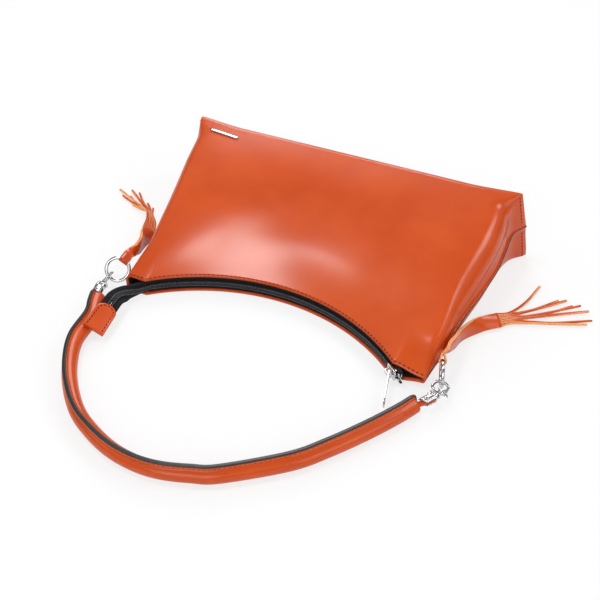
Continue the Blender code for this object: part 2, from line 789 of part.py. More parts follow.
def fittings(side):
    data = RINGS[side]
    knuckle, reach = data["knuckle"], data["reach"]
    square = Z.cross(SWING).normalized()
    up = SWING.cross(square).normalized()
    lean = 1.0 if (knuckle - data["roll_end"]).dot(SWING) > 0 else -1.0
    skew = math.radians(CLAMP_SKEW_LEFT if side == "left" else CLAMP_SKEW_RIGHT)
    lead = (square * math.cos(skew) + SWING * (lean * math.sin(skew))).normalized()

    def along(t):
        """A point of the clamp's middle line: square to the pin at the ears, then skewed."""
        if t > -EAR_LENGTH:
            return knuckle + square * t
        return knuckle - square * EAR_LENGTH + lead * (t + EAR_LENGTH)

    slot = STRIP / 2 + GAP
    top = slot + CLAMP_PLATE
    ear = [(-EAR_LENGTH - 0.5, top - 0.06)]
    for i in range(13):
        a = math.radians(110 - 220 * i / 12)
        ear.append((KNUCKLE_R * math.cos(a), KNUCKLE_R * math.sin(a)))
    ear.append((-EAR_LENGTH - 0.5, 0.06 - top))
    profile = [
        (-CLAMP_LENGTH, slot),
        (-CLAMP_LENGTH, top - 0.3),
        (-CLAMP_LENGTH + 0.5, top),
        (-EAR_LENGTH, top),
        (-EAR_LENGTH, -top),
        (-CLAMP_LENGTH + 0.5, -top),
        (-CLAMP_LENGTH, -top + 0.3),
        (-CLAMP_LENGTH, -slot),
        (-EAR_LENGTH - 0.7, -slot),
        (-EAR_LENGTH - 0.7, slot),
    ]
    half = CLAMP_WIDTH / 2
    near = [along(t) + up * v - SWING * half for t, v in profile]
    clamp = solid("clamp_" + side, [near, [p + SWING * CLAMP_WIDTH for p in near]], "chrome", smooth=False)
    dome = []
    for i in range(9):
        a = math.pi * i / 8
        dome.append(((half - 0.25) * math.cos(a), top - 0.35 + 1.25 * math.sin(a)))
    rings = []
    stations = ((CLAMP_LENGTH - 0.2, 0.8, 0.5), (CLAMP_LENGTH - 0.6, 1, 1), (4.2, 1, 1), (3.2, 0.86, 0.4))
    for back, narrow, rise in stations:
        shaped = [(x * narrow, lerp(top - 0.35, z, rise)) for x, z in dome]
        rings.append(place(along(-back), SWING, up, shaped))
    crown = solid("crown", rings, "chrome", cutter=True)
    inner = half - 0.08
    ears = extrude("ears", knuckle - SWING * inner, square, up, ear, SWING * (2 * inner), "chrome", cutter=True)
    boolean(clamp, [ears, crown], "UNION")
    rivet_at = along(3.2 - CLAMP_LENGTH)
    window = extrude(
        "window",
        knuckle - SWING * (EYE_WIDTH / 2 + GAP),
        square,
        up,
        [(-KNUCKLE_R - 0.4, -6.0), (6.0, -6.0), (6.0, 6.0), (-KNUCKLE_R - 0.4, 6.0)],
        SWING * (EYE_WIDTH + 2 * GAP),
        cutter=True,
    )
    bore = rod("bore", knuckle - SWING * 8, knuckle + SWING * 8, PIN_R + 0.25, cutter=True)
    drill = rod("drill", rivet_at - up * 8, rivet_at + up * 8, RIVET_R + 0.2, 10, cutter=True)
    boolean(clamp, [window, bore, drill])
    drop([ears, crown, window, bore])

    pin = rod("pin_" + side, knuckle - SWING * (half + 0.35), knuckle + SWING * (half + 0.35), PIN_R, 12, "chrome")
    heads = []
    for sign in (-1, 1):
        a = knuckle + SWING * (sign * (half + 0.25))
        heads.append(rod("head", a, a + SWING * (sign * 0.8), PIN_R + 0.7, 12, "chrome", cutter=True))
    boolean(pin, heads, "UNION")
    drop(heads)

    shank = rod("rivet_" + side, rivet_at - up * (top + 0.5), rivet_at + up * (top + 1.2), RIVET_R, 10, "chrome")
    caps = []
    for sign, base in ((1, top + 0.85), (-1, top + 0.15)):
        rings = [
            place(rivet_at + up * (sign * (base + h)), SWING, lead, circle(r, 12))
            for h, r in ((0.15, 1.7), (0.35, 1.65), (0.75, 1.1), (0.9, 0.4))
        ]
        caps.append(solid("cap", rings, "chrome", cutter=True))
    boolean(shank, caps, "UNION")
    drop(caps)

    # leather strip that runs from a round plug in the roll to the clamp
    root = data["roll_end"]
    roll_way = data["roll_way"]
    strip_end = along(-EAR_LENGTH - 0.7 - GAP)
    path = [root - roll_way * PLUG, root - roll_way * 0.8]
    rings = []
    side_way = Z.cross(roll_way).normalized() * -1
    for point in path:
        rings.append(place(point, side_way, Z, circle(ROLL_R - ROLL_WALL - 0.3, 12)))
    bridge = along(-CLAMP_LENGTH - 0.4)
    flat = [(4.3, 0.0), (4.3, 1.3), (2.2, 1.3), (0.0, 1.3), (-2.2, 1.3), (-4.3, 1.3)]
    flat += [(-4.3, 0.0), (-4.3, -1.3), (-2.2, -1.3), (0.0, -1.3), (2.2, -1.3), (4.3, -1.3)]
    steps = [(root + roll_way * 1.1, side_way, Z)]
    steps.append((bridge, SWING if SWING.dot(side_way) > 0 else -SWING, up))
    steps.append((strip_end, steps[-1][1], up))
    for point, a, b in steps:
        rings.append(place(point, a, b, flat))
    strip = solid("handle_strip_" + side, rings, "leather", smooth=False)
    boolean(strip, drill)
    drop([drill])

    # swivel eye on the pin, with a headed stub for the claw
    swivel = rod(
        "swivel_" + side, knuckle - SWING * (EYE_WIDTH / 2), knuckle + SWING * (EYE_WIDTH / 2), 2.2, 14, "chrome"
    )
    neck = rod("neck", knuckle + reach * 1.2, knuckle + reach * 5.9, 1.0, 10, "chrome", cutter=True)
    head = rod("head", knuckle + reach * 5.6, knuckle + reach * 6.5, 1.7, 12, "chrome", cutter=True)
    boolean(swivel, [neck, head], "UNION")
    bore = rod("bore", knuckle - SWING * 8, knuckle + SWING * 8, PIN_R + 0.25, cutter=True)
    boolean(swivel, bore)
    drop([neck, head, bore])

    # claw: a bent bar round the ring's wire, closed by a sprung gate
    tangent = data["normal"].cross(data["hook"]).normalized()
    face = (tangent - reach * tangent.dot(reach)).normalized()
    if face.z < 0:
        face = -face
    wide = face.cross(reach).normalized()
    data["claw_face"], data["claw_wide"] = face, wide
    far = HOOK_REACH + RING_WIRE + JAW_PLAY + JAW_BAR / 2
    centre_line = [
        (4.5, -4.6),
        (4.4, 0.0),
        (4.6, 3.2),
        (6.2, 5.0),
        (8.4, JAW_HALF + 1.2),
        (far - 3.3, JAW_HALF + 0.9),
        (far - 1.2, 3.4),
        (far, 0.6),
        (far - 0.3, -2.4),
        (far - 1.3, -4.4),
    ]
    path = spline([(a, b, 0) for a, b in centre_line], 19)
    rings = []
    for i, (point, way) in enumerate(zip(path, directions(path))):
        thick = JAW_BAR / 2 * (1.0 if i > 3 else 0.86) * (1.0 if i < 17 else 0.85)
        sideways = Vector((-way.y, way.x, 0))
        ring = []
        for a, b in circle(1.0, 8, math.radians(22.5)):
            flat_point = point + sideways * (a * thick)
            ring.append(knuckle + reach * flat_point.x + wide * flat_point.y + face * (b * 1.35))
        rings.append(ring)
    claw = solid("claw_" + side, rings, "chrome")
    pivot = knuckle + reach * 6.3 + wide * -5.0
    lug = rod("lug", pivot - face * 1.5, pivot + face * 1.5, 2.0, 14, "chrome", cutter=True)
    collar = rod("collar", knuckle + reach * 3.2, knuckle + reach * 5.3, 2.1, 12, "chrome", cutter=True)
    boolean(claw, [collar, lug], "UNION")
    fork = box("fork", pivot + reach * 1.55 - wide * 0.4, reach, wide, face, (3.0, 2.6, 0.75))
    stub = rod("stub", knuckle + reach * 1.0, knuckle + reach * 8.0, 1.3, 12, cutter=True)
    pin_hole = rod("pin_hole", pivot - face * 4, pivot + face * 4, 0.62, 10, cutter=True)
    notch = box("notch", knuckle + reach * (far - 1.0) + wide * -4.35, reach, wide, face, (1.9, 2.15, 0.8))
    boolean(claw, [fork, stub, pin_hole, notch])
    drop([lug, collar, fork, stub, pin_hole, notch])

    gate_line = [
        (-1.1, 0.8),
        (-1.1, -0.5),
        (-1.3, -2.2),
        (-2.6, -3.6),
        (-1.8, -4.2),
        (0.9, -1.5),
        (far - 7.8, -1.0),
        (far - 7.5, 0.0),
        (far - 7.9, 0.75),
        (0.6, 1.0),
    ]
    gate = extrude("gate_" + side, pivot - face * 0.5, reach, wide, gate_line, face * 1.0, "chrome")
    hub = rod("hub", pivot - face * 1.9, pivot + face * 1.9, 0.42, 10, "chrome", cutter=True)
    boolean(gate, hub, "UNION")
    drop([hub])
    data["gate_pivot"] = pivot


# Handle: padded roll with a stitched fin, laid in one long curve from hook to hook
HANDLE = [RINGS["left"]["roll_end"]]
for share, fall in (
    (0.0147, 0.0778),
    (0.0358, 0.1789),
    (0.0494, 0.3781),
    (0.0880, 0.5468),
    (0.1408, 0.6949),
    (0.2097, 0.8313),
    (0.2819, 0.9169),
    (0.3629, 0.9784),
    (0.4419, 1.0000),
    (0.5120, 0.9872),
    (0.5847, 0.9400),
    (0.6491, 0.8797),
    (0.7870, 0.6555),
    (0.8564, 0.4843),
    (0.9228, 0.2847),
    (0.9718, 0.1149),
):
    between = RINGS["left"]["roll_end"].lerp(RINGS["right"]["roll_end"], share)
    HANDLE.append(between - Y * (fall * HANDLE_DROP))
HANDLE.append(RINGS["right"]["roll_end"])
roll = spline(HANDLE, 31)
roll_ways = directions(roll)
RINGS["left"]["roll_way"] = -roll_ways[0]
RINGS["right"]["roll_way"] = roll_ways[-1]


def roll_rings(radius, fin, path, ways, count=14):
    out = []
    for i, (point, way) in enumerate(zip(path, ways)):
        t = i / (len(path) - 1)
        outward = Z.cross(way).normalized() * -1
        lean = math.radians(lerp(FIN_LEAN_LEFT, FIN_LEAN_RIGHT, ease(t + 0.05)))
        if fin == 0:
            out.append(place(point, outward, Z, circle(radius, count)))
            continue
        ring = []
        opened = math.asin(FIN_THICK / 2 / radius)
        for k in range(count):
            a = lean + opened + (2 * math.pi - 2 * opened) * k / (count - 1)
            ring.append((radius * math.cos(a), radius * math.sin(a)))
        for sign in (-1, 1):
            along = radius + fin
            ring.append(
                (
                    along * math.cos(lean) - sign * FIN_THICK / 2 * math.sin(lean),
                    along * math.sin(lean) + sign * FIN_THICK / 2 * math.cos(lean),
                )
            )
        out.append(place(point, outward, Z, ring))
    return out


def extended(path, ways, more):
    return [path[0] - ways[0] * more] + path[1:-1] + [path[-1] + ways[-1] * more]


cover = solid("handle_cover", roll_rings(ROLL_R, FIN, roll, roll_ways), "leather")
bore_path = extended(roll, roll_ways, 3.0)
bore = solid("bore", roll_rings(ROLL_R - ROLL_WALL, 0, bore_path, roll_ways, 10), None, cutter=True)
boolean(cover, bore)
drop([bore])
trimmed = roll[1:-1]
core_ways = roll_ways[1:-1]
solid("handle_core", roll_rings(ROLL_R - ROLL_WALL - 0.25, 0, trimmed, core_ways, 10), "foam")

fittings("left")
fittings("right")


def hinge(point, *names):
    """Give moving pieces their origin on the axis that they turn about."""
    for name in names:
        piece = bpy.data.objects[name]
        piece.data.transform(Matrix.Translation(-point * MM))
        piece.location = point * MM


hinge(Vector((ARC_X, ARC_Y, ZIP_Z)), "zip_slider")
hinge(PIVOT, "zip_pull")
hinge(
    (RINGS["left"]["knuckle"] + RINGS["right"]["knuckle"]) / 2,
    "handle_cover",
    "handle_core",
    "handle_strip_left",
    "handle_strip_right",
)
for side, data in RINGS.items():
    fixed = [name + side for name in ("clamp_", "rivet_", "pin_", "swivel_", "claw_")]
    hinge(data["knuckle"], *fixed)
    hinge(data["gate_pivot"], "gate_" + side)
    hinge(data["centre"], "ring_" + side)
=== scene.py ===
"""The looks of a small leather shoulder bag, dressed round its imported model.

The bag lies on its back: X runs along its width, +Y towards its base, +Z up through its front.
Sizes are written in millimetres, as a maker would measure them, and scaled to metres on the way out.
"""

import logging
import math
from dataclasses import dataclass, field
from enum import Enum
from typing import Callable, Iterable, Sequence

import bmesh
import bpy
from mathutils import Matrix, Vector, noise


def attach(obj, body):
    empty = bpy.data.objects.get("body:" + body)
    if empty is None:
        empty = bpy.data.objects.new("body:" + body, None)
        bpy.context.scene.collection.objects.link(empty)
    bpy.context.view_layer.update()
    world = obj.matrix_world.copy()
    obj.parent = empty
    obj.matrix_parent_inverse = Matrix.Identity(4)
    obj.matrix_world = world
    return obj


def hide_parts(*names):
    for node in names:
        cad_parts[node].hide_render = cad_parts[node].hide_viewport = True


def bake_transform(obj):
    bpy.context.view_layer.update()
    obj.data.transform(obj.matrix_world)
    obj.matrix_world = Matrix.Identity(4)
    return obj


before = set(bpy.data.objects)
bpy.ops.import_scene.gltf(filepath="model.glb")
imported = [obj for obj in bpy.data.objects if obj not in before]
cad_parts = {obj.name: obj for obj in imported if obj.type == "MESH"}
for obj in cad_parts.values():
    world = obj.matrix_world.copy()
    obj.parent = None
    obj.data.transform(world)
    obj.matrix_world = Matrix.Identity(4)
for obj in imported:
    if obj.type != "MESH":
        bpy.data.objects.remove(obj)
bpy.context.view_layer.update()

MM = 0.001
X, Y, Z = Vector((1, 0, 0)), Vector((0, 1, 0)), Vector((0, 0, 1))
VIEW_AXIS = Vector((0.324, -0.694, 0.643))
Colour = tuple[float, float, float]
Ring = list[Vector]
Column = tuple[str, int, float]
Profile = tuple[tuple[float, float], ...]

log = logging.getLogger("bag")


class Panel(Enum):
    """The two halves of the leather body, which meet in the seam up the gussets and along the base."""

    FRONT = "front"
    BACK = "back"


class Side(Enum):
    """The two ends of the mouth, where the rings hang."""

    LEFT = "left"
    RIGHT = "right"


class Body(Enum):
    """The moving bodies that the pieces ride on."""

    BAG = "bag"
    HANDLE = "handle"
    SLIDER = "slider"
    PULL = "pull"


def lerp(a: float, b: float, t: float) -> float:
    """The value a share t of the way from a to b."""
    return a + (b - a) * t


def ease(t: float) -> float:
    """A smooth step from 0 to 1."""
    t = min(1.0, max(0.0, t))
    return t * t * (3 - 2 * t)


def hump(t: float) -> float:
    """A smooth hill that is 0 at 0 and 1, and 1 half way."""
    return math.sin(math.pi * min(1.0, max(0.0, t)))


def along(profile: Profile, s: float) -> float:
    """A smooth curve through the knots of a profile.

    Args:
        profile: Places and values, by rising place.
        s: Where the curve is read.

    Returns:
        The curve's height there, and the end values outside the knots.
    """
    if s <= profile[0][0]:
        return profile[0][1]
    for i in range(len(profile) - 1):
        (s0, v0), (s1, v1) = profile[i], profile[i + 1]
        if s <= s1:
            before, after = profile[max(0, i - 1)], profile[min(len(profile) - 1, i + 2)]
            m0 = (v1 - before[1]) / (s1 - before[0]) * (s1 - s0)
            m1 = (after[1] - v0) / (after[0] - s0) * (s1 - s0)
            t = (s - s0) / (s1 - s0)
            near = (2 * t**3 - 3 * t**2 + 1) * v0 + (t**3 - 2 * t**2 + t) * m0
            return near + (3 * t**2 - 2 * t**3) * v1 + (t**3 - t**2) * m1
    return profile[-1][1]


def smooth_path(points: Sequence[Sequence[float]], count: int) -> list[Vector]:
    """Evenly spaced points on a smooth curve.

    Args:
        points: The places that the curve passes through.
        count: How many points to give back.

    Returns:
        The evenly spaced points, ends included.
    """
    given = [Vector(p) for p in points]
    given = [given[0] * 2 - given[1]] + given + [given[-1] * 2 - given[-2]]
    fine: list[Vector] = []
    for i in range(1, len(given) - 2):
        p0, p1, p2, p3 = given[i - 1 : i + 3]
        for k in range(24):
            t = k / 24
            bend = (p2 - p0) * t + (p0 * 2 - p1 * 5 + p2 * 4 - p3) * t * t
            fine.append((p1 * 2 + bend + (p1 * 3 - p0 - p2 * 3 + p3) * t * t * t) * 0.5)
    fine.append(given[-2].copy())
    return even(fine, count)


def even(line: Sequence[Vector], count: int) -> list[Vector]:
    """The line again, in evenly spaced points.

    Args:
        line: Any chain of points.
        count: How many points to give back.

    Returns:
        The evenly spaced points, ends included.
    """
    run = [0.0]
    for a, b in zip(line, line[1:]):
        run.append(run[-1] + (b - a).length)
    out: list[Vector] = []
    j = 0
    for i in range(count):
        goal = run[-1] * i / (count - 1)
        while j < len(run) - 2 and run[j + 1] < goal:
            j += 1
        share = (goal - run[j]) / max(1e-9, run[j + 1] - run[j])
        out.append(line[j].lerp(line[j + 1], min(1.0, share)))
    return out


def ways(path: Sequence[Vector]) -> list[Vector]:
    """The unit direction of travel at each point of a path."""
    last = len(path) - 1
    return [(path[min(last, i + 1)] - path[max(0, i - 1)]).normalized() for i in range(len(path))]


def circle(radius: float, count: int, start: float = 0.0) -> list[tuple[float, float]]:
    """Points round a circle, without the first repeated."""
    turn = 2 * math.pi / count
    return [(radius * math.cos(start + turn * i), radius * math.sin(start + turn * i)) for i in range(count)]


def rounded_bar(half_w: float, half_h: float, radius: float, steps: int = 3) -> list[tuple[float, float]]:
    """The outline of a flat strip with rounded corners, anticlockwise from the lower right corner."""
    out: list[tuple[float, float]] = []
    for sx, sy, start in ((1, -1, -90), (1, 1, 0), (-1, 1, 90), (-1, -1, 180)):
        for k in range(steps + 1):
            a = math.radians(start + 90 * k / steps)
            x, y = sx * (half_w - radius), sy * (half_h - radius)
            out.append((x + radius * math.cos(a), y + radius * math.sin(a)))
    return out


def in_plane(origin: Vector, u: Vector, v: Vector, outline: Iterable[tuple[float, float]]) -> Ring:
    """The outline drawn on the directions u and v at the origin."""
    return [origin + u * a + v * b for a, b in outline]


def skin(rings: Sequence[Ring], closed: bool = False, capped: bool = False) -> bmesh.types.BMesh:
    """A grid laid through rings of equal length, with a UV map in millimetres.

    Args:
        rings: The rows of points, one ring for each row.
        closed: Whether each ring joins up with itself.
        capped: Whether the open ends of a closed skin are filled.

    Returns:
        The bmesh, in millimetres.
    """
    rings = [ring + [ring[0]] if closed else ring for ring in rings]
    columns, rows = len(rings[0]) - 1, len(rings) - 1
    bm = bmesh.new()
    bmesh.ops.create_grid(bm, x_segments=columns, y_segments=rows, size=1.0)
    across = [0.0]
    for a, b in zip(rings[rows // 2], rings[rows // 2][1:]):
        across.append(across[-1] + (b - a).length)
    along = [0.0]
    for a, b in zip(rings, rings[1:]):
        along.append(along[-1] + (b[columns // 2] - a[columns // 2]).length)
    cells = {v: (round((v.co.x + 1) / 2 * columns), round((v.co.y + 1) / 2 * rows)) for v in bm.verts}
    uv = bm.loops.layers.uv.new("surface")
    for face in bm.faces:
        for loop in face.loops:
            c, r = cells[loop.vert]
            loop[uv].uv = (across[c] * MM, along[r] * MM)
    for vert, (c, r) in cells.items():
        vert.co = rings[r][c]
    bmesh.ops.remove_doubles(bm, verts=bm.verts, dist=0.001)
    if capped:
        open_edges = [e for e in bm.edges if e.is_boundary]
        bmesh.ops.holes_fill(bm, edges=open_edges, sides=0)
    if closed and capped:
        bmesh.ops.recalc_face_normals(bm, faces=bm.faces)
    return bm


def turn_outwards(bm: bmesh.types.BMesh, inside: Vector) -> None:
    """Flip an open skin if most of it faces a point that lies inside."""
    bm.normal_update()
    score = sum(f.calc_area() * f.normal.dot(f.calc_center_median() - inside) for f in bm.faces)
    if score < 0:
        bmesh.ops.reverse_faces(bm, faces=bm.faces)


def join_into(target: bmesh.types.BMesh, source: bmesh.types.BMesh, material: int | None = None) -> None:
    """Add a bmesh to another and free it.

    Args:
        target: The bmesh that grows.
        source: The bmesh that is added.
        material: The material index of the added faces, if they don't keep their own.
    """
    if material is not None:
        for face in source.faces:
            face.material_index = material
    scratch = bpy.data.meshes.new("scratch")
    source.to_mesh(scratch)
    source.free()
    target.from_mesh(scratch)
    bpy.data.meshes.remove(scratch)


def add_stitches(
    bm: bmesh.types.BMesh,
    path: Sequence[Vector],
    outwards: Sequence[Vector],
    pitch: float = 3.0,
    length: float = 2.1,
    thread: float = 0.55,
    material: int = 0,
    slant: float = 0.0,
) -> int:
    """Lay a row of thread stitches along a path.

    Args:
        bm: The bmesh that gets the stitches.
        path: The line of the row, on the leather.
        outwards: The way out of the leather at each point.
        pitch: From one stitch to the next.
        length: How long one stitch shows.
        thread: The thread's diameter.
        material: The material index of the thread.
        slant: How far each stitch is turned out of the row, in degrees.

    Returns:
        How many stitches were laid.
    """
    run = sum((b - a).length for a, b in zip(path, path[1:]))
    count = max(1, int(run / pitch))
    places = even(list(path), count * 2 + 1)
    travel = ways(places)
    for i in range(count):
        k = i * 2 + 1
        nearest = min(range(len(path)), key=lambda j: (path[j] - places[k]).length_squared)
        up = outwards[nearest]
        way = travel[k]
        side = way.cross(up).normalized()
        up = side.cross(way).normalized()
        lean = math.radians(slant)
        way, side = way * math.cos(lean) + side * math.sin(lean), side * math.cos(lean) - way * math.sin(lean)
        made = bmesh.ops.create_uvsphere(bm, u_segments=6, v_segments=5, radius=0.5)
        turn = Matrix((way * length, side * thread, up * thread * 0.8)).transposed().to_4x4()
        turn.translation = places[k]
        swap = Matrix.Rotation(math.pi / 2, 4, "Y")
        bmesh.ops.transform(bm, matrix=turn @ swap, verts=made["verts"])
        for face in {f for v in made["verts"] for f in v.link_faces}:
            face.material_index = material
    return count


class Workshop:
    """Turns bmeshes in millimetres into finished pieces that ride on a body."""

    def lay(
        self, name: str, bm: bmesh.types.BMesh, materials: Sequence[bpy.types.Material]
    ) -> bpy.types.Object:
        """Put one mesh into the scene.

        Args:
            name: The object's name.
            bm: Its shape in millimetres, which is freed.
            materials: Its materials, in the order of the face indices.

        Returns:
            The new object, shaded smooth.
        """
        bmesh.ops.scale(bm, vec=(MM, MM, MM), verts=bm.verts)
        mesh = bpy.data.meshes.new(name)
        bm.to_mesh(mesh)
        bm.free()
        for material in materials:
            mesh.materials.append(material)
        mesh.polygons.foreach_set("use_smooth", [True] * len(mesh.polygons))
        made = bpy.data.objects.new(name, mesh)
        bpy.context.scene.collection.objects.link(made)
        return made

    def piece(
        self,
        name: str,
        bm: bmesh.types.BMesh,
        materials: Sequence[bpy.types.Material],
        body: str,
        slot: str,
        replaces: Sequence[str] = (),
        modifiers: Callable[[bpy.types.Object], None] | None = None,
    ) -> bpy.types.Object:
        """Finish one piece.

        Args:
            name: The piece's name.
            bm: Its shape in millimetres, which is freed.
            materials: Its materials, in the order of the face indices.
            body: The body that it rides on.
            slot: Not used.
            replaces: The CAD nodes that it stands for.
            modifiers: Adds live modifiers, whose levels match for view and render.

        Returns:
            The new object.
        """
        made = self.lay(name, bm, materials)
        if modifiers:
            modifiers(made)
        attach(made, body)
        if replaces:
            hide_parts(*replaces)
        log.info("%s: %d faces on %s", name, len(made.data.polygons), body)
        return made

    def cast_copy(
        self, node: str, material: bpy.types.Material, body: str, voxel: float = 0.22, passes: int = 6
    ) -> bpy.types.Object:
        """A rounded, polished copy of a metal CAD node, as it would come out of a mould and a tumbler.

        Args:
            node: The CAD node that is copied and replaced.
            material: The metal.
            body: The body that it rides on.
            voxel: The grid size of the remesh, in millimetres.
            passes: How often the surface is smoothed.

        Returns:
            The new object.
        """
        bm = bmesh.new()
        bm.from_mesh(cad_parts[node].data)
        bmesh.ops.remove_doubles(bm, verts=bm.verts, dist=1e-6)
        mesh = bpy.data.meshes.new(node + "_cast")
        bm.to_mesh(mesh)
        bm.free()
        rough = bpy.data.objects.new(node + "_rough", mesh)
        bpy.context.scene.collection.objects.link(rough)
        remesh = rough.modifiers.new("grid", "REMESH")
        remesh.mode = "VOXEL"
        remesh.voxel_size = voxel * MM
        tumble = rough.modifiers.new("tumble", "SMOOTH")
        tumble.factor = 0.5
        tumble.iterations = passes
        graph = bpy.context.evaluated_depsgraph_get()
        final = bpy.data.meshes.new_from_object(rough.evaluated_get(graph))
        bpy.data.objects.remove(rough, do_unlink=True)
        shaped = bmesh.new()
        shaped.from_mesh(final)
        bpy.data.meshes.remove(final)
        bmesh.ops.scale(shaped, vec=(1 / MM, 1 / MM, 1 / MM), verts=shaped.verts)
        return self.piece(node + "_cast", shaped, [material], body, "metal", [node])


def wall(thickness: float) -> Callable[[bpy.types.Object], None]:
    """A modifier that gives an open skin its thickness, inwards from its face."""

    def add(made: bpy.types.Object) -> None:
        """Add the wall to one object."""
        step = made.modifiers.new("wall", "SOLIDIFY")
        step.thickness = thickness * MM
        step.offset = -1.0
        step.use_rim = True

    return add


@dataclass
class Sheet:
    """A small helper that builds shader nodes from left to right."""

    tree: bpy.types.NodeTree

    def add(self, kind: str, **values: object) -> bpy.types.Node:
        """Add a node and set its properties.

        Args:
            kind: The node's type name.
            **values: Properties by name, or inputs by name with spaces written as underscores.

        Returns:
            The node.
        """
        node = self.tree.nodes.new(kind)
        for key, value in values.items():
            label = key.replace("_", " ")
            if label in node.inputs:
                node.inputs[label].default_value = value
            else:
                setattr(node, key, value)
        return node

    def link(self, source: bpy.types.NodeSocket, target: bpy.types.NodeSocket) -> None:
        """Join an output to an input."""
        self.tree.links.new(source, target)

    def ramp(self, source: bpy.types.NodeSocket, stops: Sequence[tuple[float, Colour]]) -> bpy.types.Node:
        """A colour ramp fed by a value.

        Args:
            source: The value.
            stops: Positions and colours from left to right.

        Returns:
            The ramp node.
        """
        node = self.tree.nodes.new("ShaderNodeValToRGB")
        while len(node.color_ramp.elements) < len(stops):
            node.color_ramp.elements.new(0.5)
        for element, (place, colour) in zip(node.color_ramp.elements, stops):
            element.position = place
            element.color = (*colour, 1.0)
        self.link(source, node.inputs["Fac"])
        return node

    def texture(self, kind: str, **values: object) -> bpy.types.Node:
        """A texture read in the object's own coordinates, set as add() sets a node."""
        node = self.add(kind, **values)
        self.link(self.add("ShaderNodeTexCoord").outputs["Object"], node.inputs["Vector"])
        return node

    def colour(
        self, shader: bpy.types.Node, source: bpy.types.NodeSocket, stops: Sequence[tuple[float, Colour]]
    ) -> None:
        """Colour a shader by a ramp over a value."""
        self.link(self.ramp(source, stops).outputs["Color"], shader.inputs["Base Color"])

    def bump(
        self, shader: bpy.types.Node, height: bpy.types.NodeSocket, strength: float, distance: float
    ) -> None:
        """Raise a shader's surface by a value."""
        node = self.add("ShaderNodeBump", Strength=strength, Distance=distance)
        self.link(height, node.inputs["Height"])
        self.link(node.outputs["Normal"], shader.inputs["Normal"])


def new_material(name: str) -> tuple[bpy.types.Material, Sheet, bpy.types.Node]:
    """A material with a Principled shader.

    Args:
        name: The material's name.

    Returns:
        The material, its node helper and its shader node.
    """
    made = bpy.data.materials.new(name)
    made.use_nodes = True
    sheet = Sheet(made.node_tree)
    return made, sheet, made.node_tree.nodes["Principled BSDF"]


def dial(node: bpy.types.Node, **values: object) -> None:
    """Set a node's constants, by input name with spaces written as underscores."""
    for key, value in values.items():
        node.inputs[key.replace("_", " ")].default_value = value


def grain_group() -> bpy.types.NodeTree:
    """The pores and soft creases of smooth leather, shared by every leather finish.

    Returns:
        A node group with the inputs Pore Size and Crease Size, and the outputs Height and Mottle.
    """
    name = "leather_grain"
    found = bpy.data.node_groups.get(name)
    if found:
        return found
    group = bpy.data.node_groups.new(name, "ShaderNodeTree")
    for socket in ("Pore Size", "Crease Size"):
        group.interface.new_socket(socket, in_out="INPUT", socket_type="NodeSocketFloat")
    for socket in ("Height", "Mottle"):
        group.interface.new_socket(socket, in_out="OUTPUT", socket_type="NodeSocketFloat")
    sheet = Sheet(group)
    given = sheet.add("NodeGroupInput")
    out = sheet.add("NodeGroupOutput")
    pores = sheet.texture("ShaderNodeTexVoronoi", feature="SMOOTH_F1", Smoothness=0.6, Randomness=0.9)
    sheet.link(given.outputs["Pore Size"], pores.inputs["Scale"])
    creases = sheet.texture("ShaderNodeTexNoise", Detail=5.0, Roughness=0.6, Distortion=0.5)
    sheet.link(given.outputs["Crease Size"], creases.inputs["Scale"])
    blend = sheet.add("ShaderNodeMix", data_type="FLOAT", Factor=0.45)
    sheet.link(pores.outputs["Distance"], blend.inputs[2])
    sheet.link(creases.outputs["Fac"], blend.inputs[3])
    clouds = sheet.texture("ShaderNodeTexNoise", Scale=22.0, Detail=3.0, Roughness=0.55)
    sheet.link(blend.outputs[0], out.inputs["Height"])
    sheet.link(clouds.outputs["Fac"], out.inputs["Mottle"])
    return group


@dataclass(frozen=True)
class Leather:
    """Smooth, lightly glazed leather in one dye."""

    name: str
    dye: Colour
    deep: Colour
    gloss: float = 0.48
    glaze: float = 0.6
    pore_depth: float = 0.045

    def build(self) -> bpy.types.Material:
        """The finished material."""
        made, sheet, shader = new_material(self.name)
        grain = sheet.add("ShaderNodeGroup")
        grain.node_tree = grain_group()
        dial(grain, Pore_Size=1500.0, Crease_Size=420.0)
        sheet.colour(shader, grain.outputs["Mottle"], [(0.30, self.deep), (0.62, self.dye)])
        shine = sheet.add("ShaderNodeMapRange", To_Min=self.gloss - 0.05, To_Max=self.gloss + 0.07)
        sheet.link(grain.outputs["Mottle"], shine.inputs["Value"])
        sheet.link(shine.outputs["Result"], shader.inputs["Roughness"])
        sheet.bump(shader, grain.outputs["Height"], self.pore_depth * 4, 0.0004)
        dial(shader, Specular_IOR_Level=0.06, Coat_Weight=self.glaze, Coat_Roughness=0.2)
        return made


@dataclass(frozen=True)
class EdgePaint:
    """The thick paint on a cut edge: rubbery, a little uneven, with a soft shine."""

    name: str = "edge_paint"
    colour: Colour = (0.012, 0.010, 0.010)
    light: Colour = (0.03, 0.024, 0.022)

    def build(self) -> bpy.types.Material:
        """The finished material."""
        made, sheet, shader = new_material(self.name)
        blobs = sheet.texture("ShaderNodeTexNoise", Scale=900.0, Detail=2.0)
        sheet.colour(shader, blobs.outputs["Fac"], [(0.3, self.colour), (0.8, self.light)])
        sheet.bump(shader, blobs.outputs["Fac"], 0.25, 0.0002)
        dial(shader, Roughness=0.38)
        return made


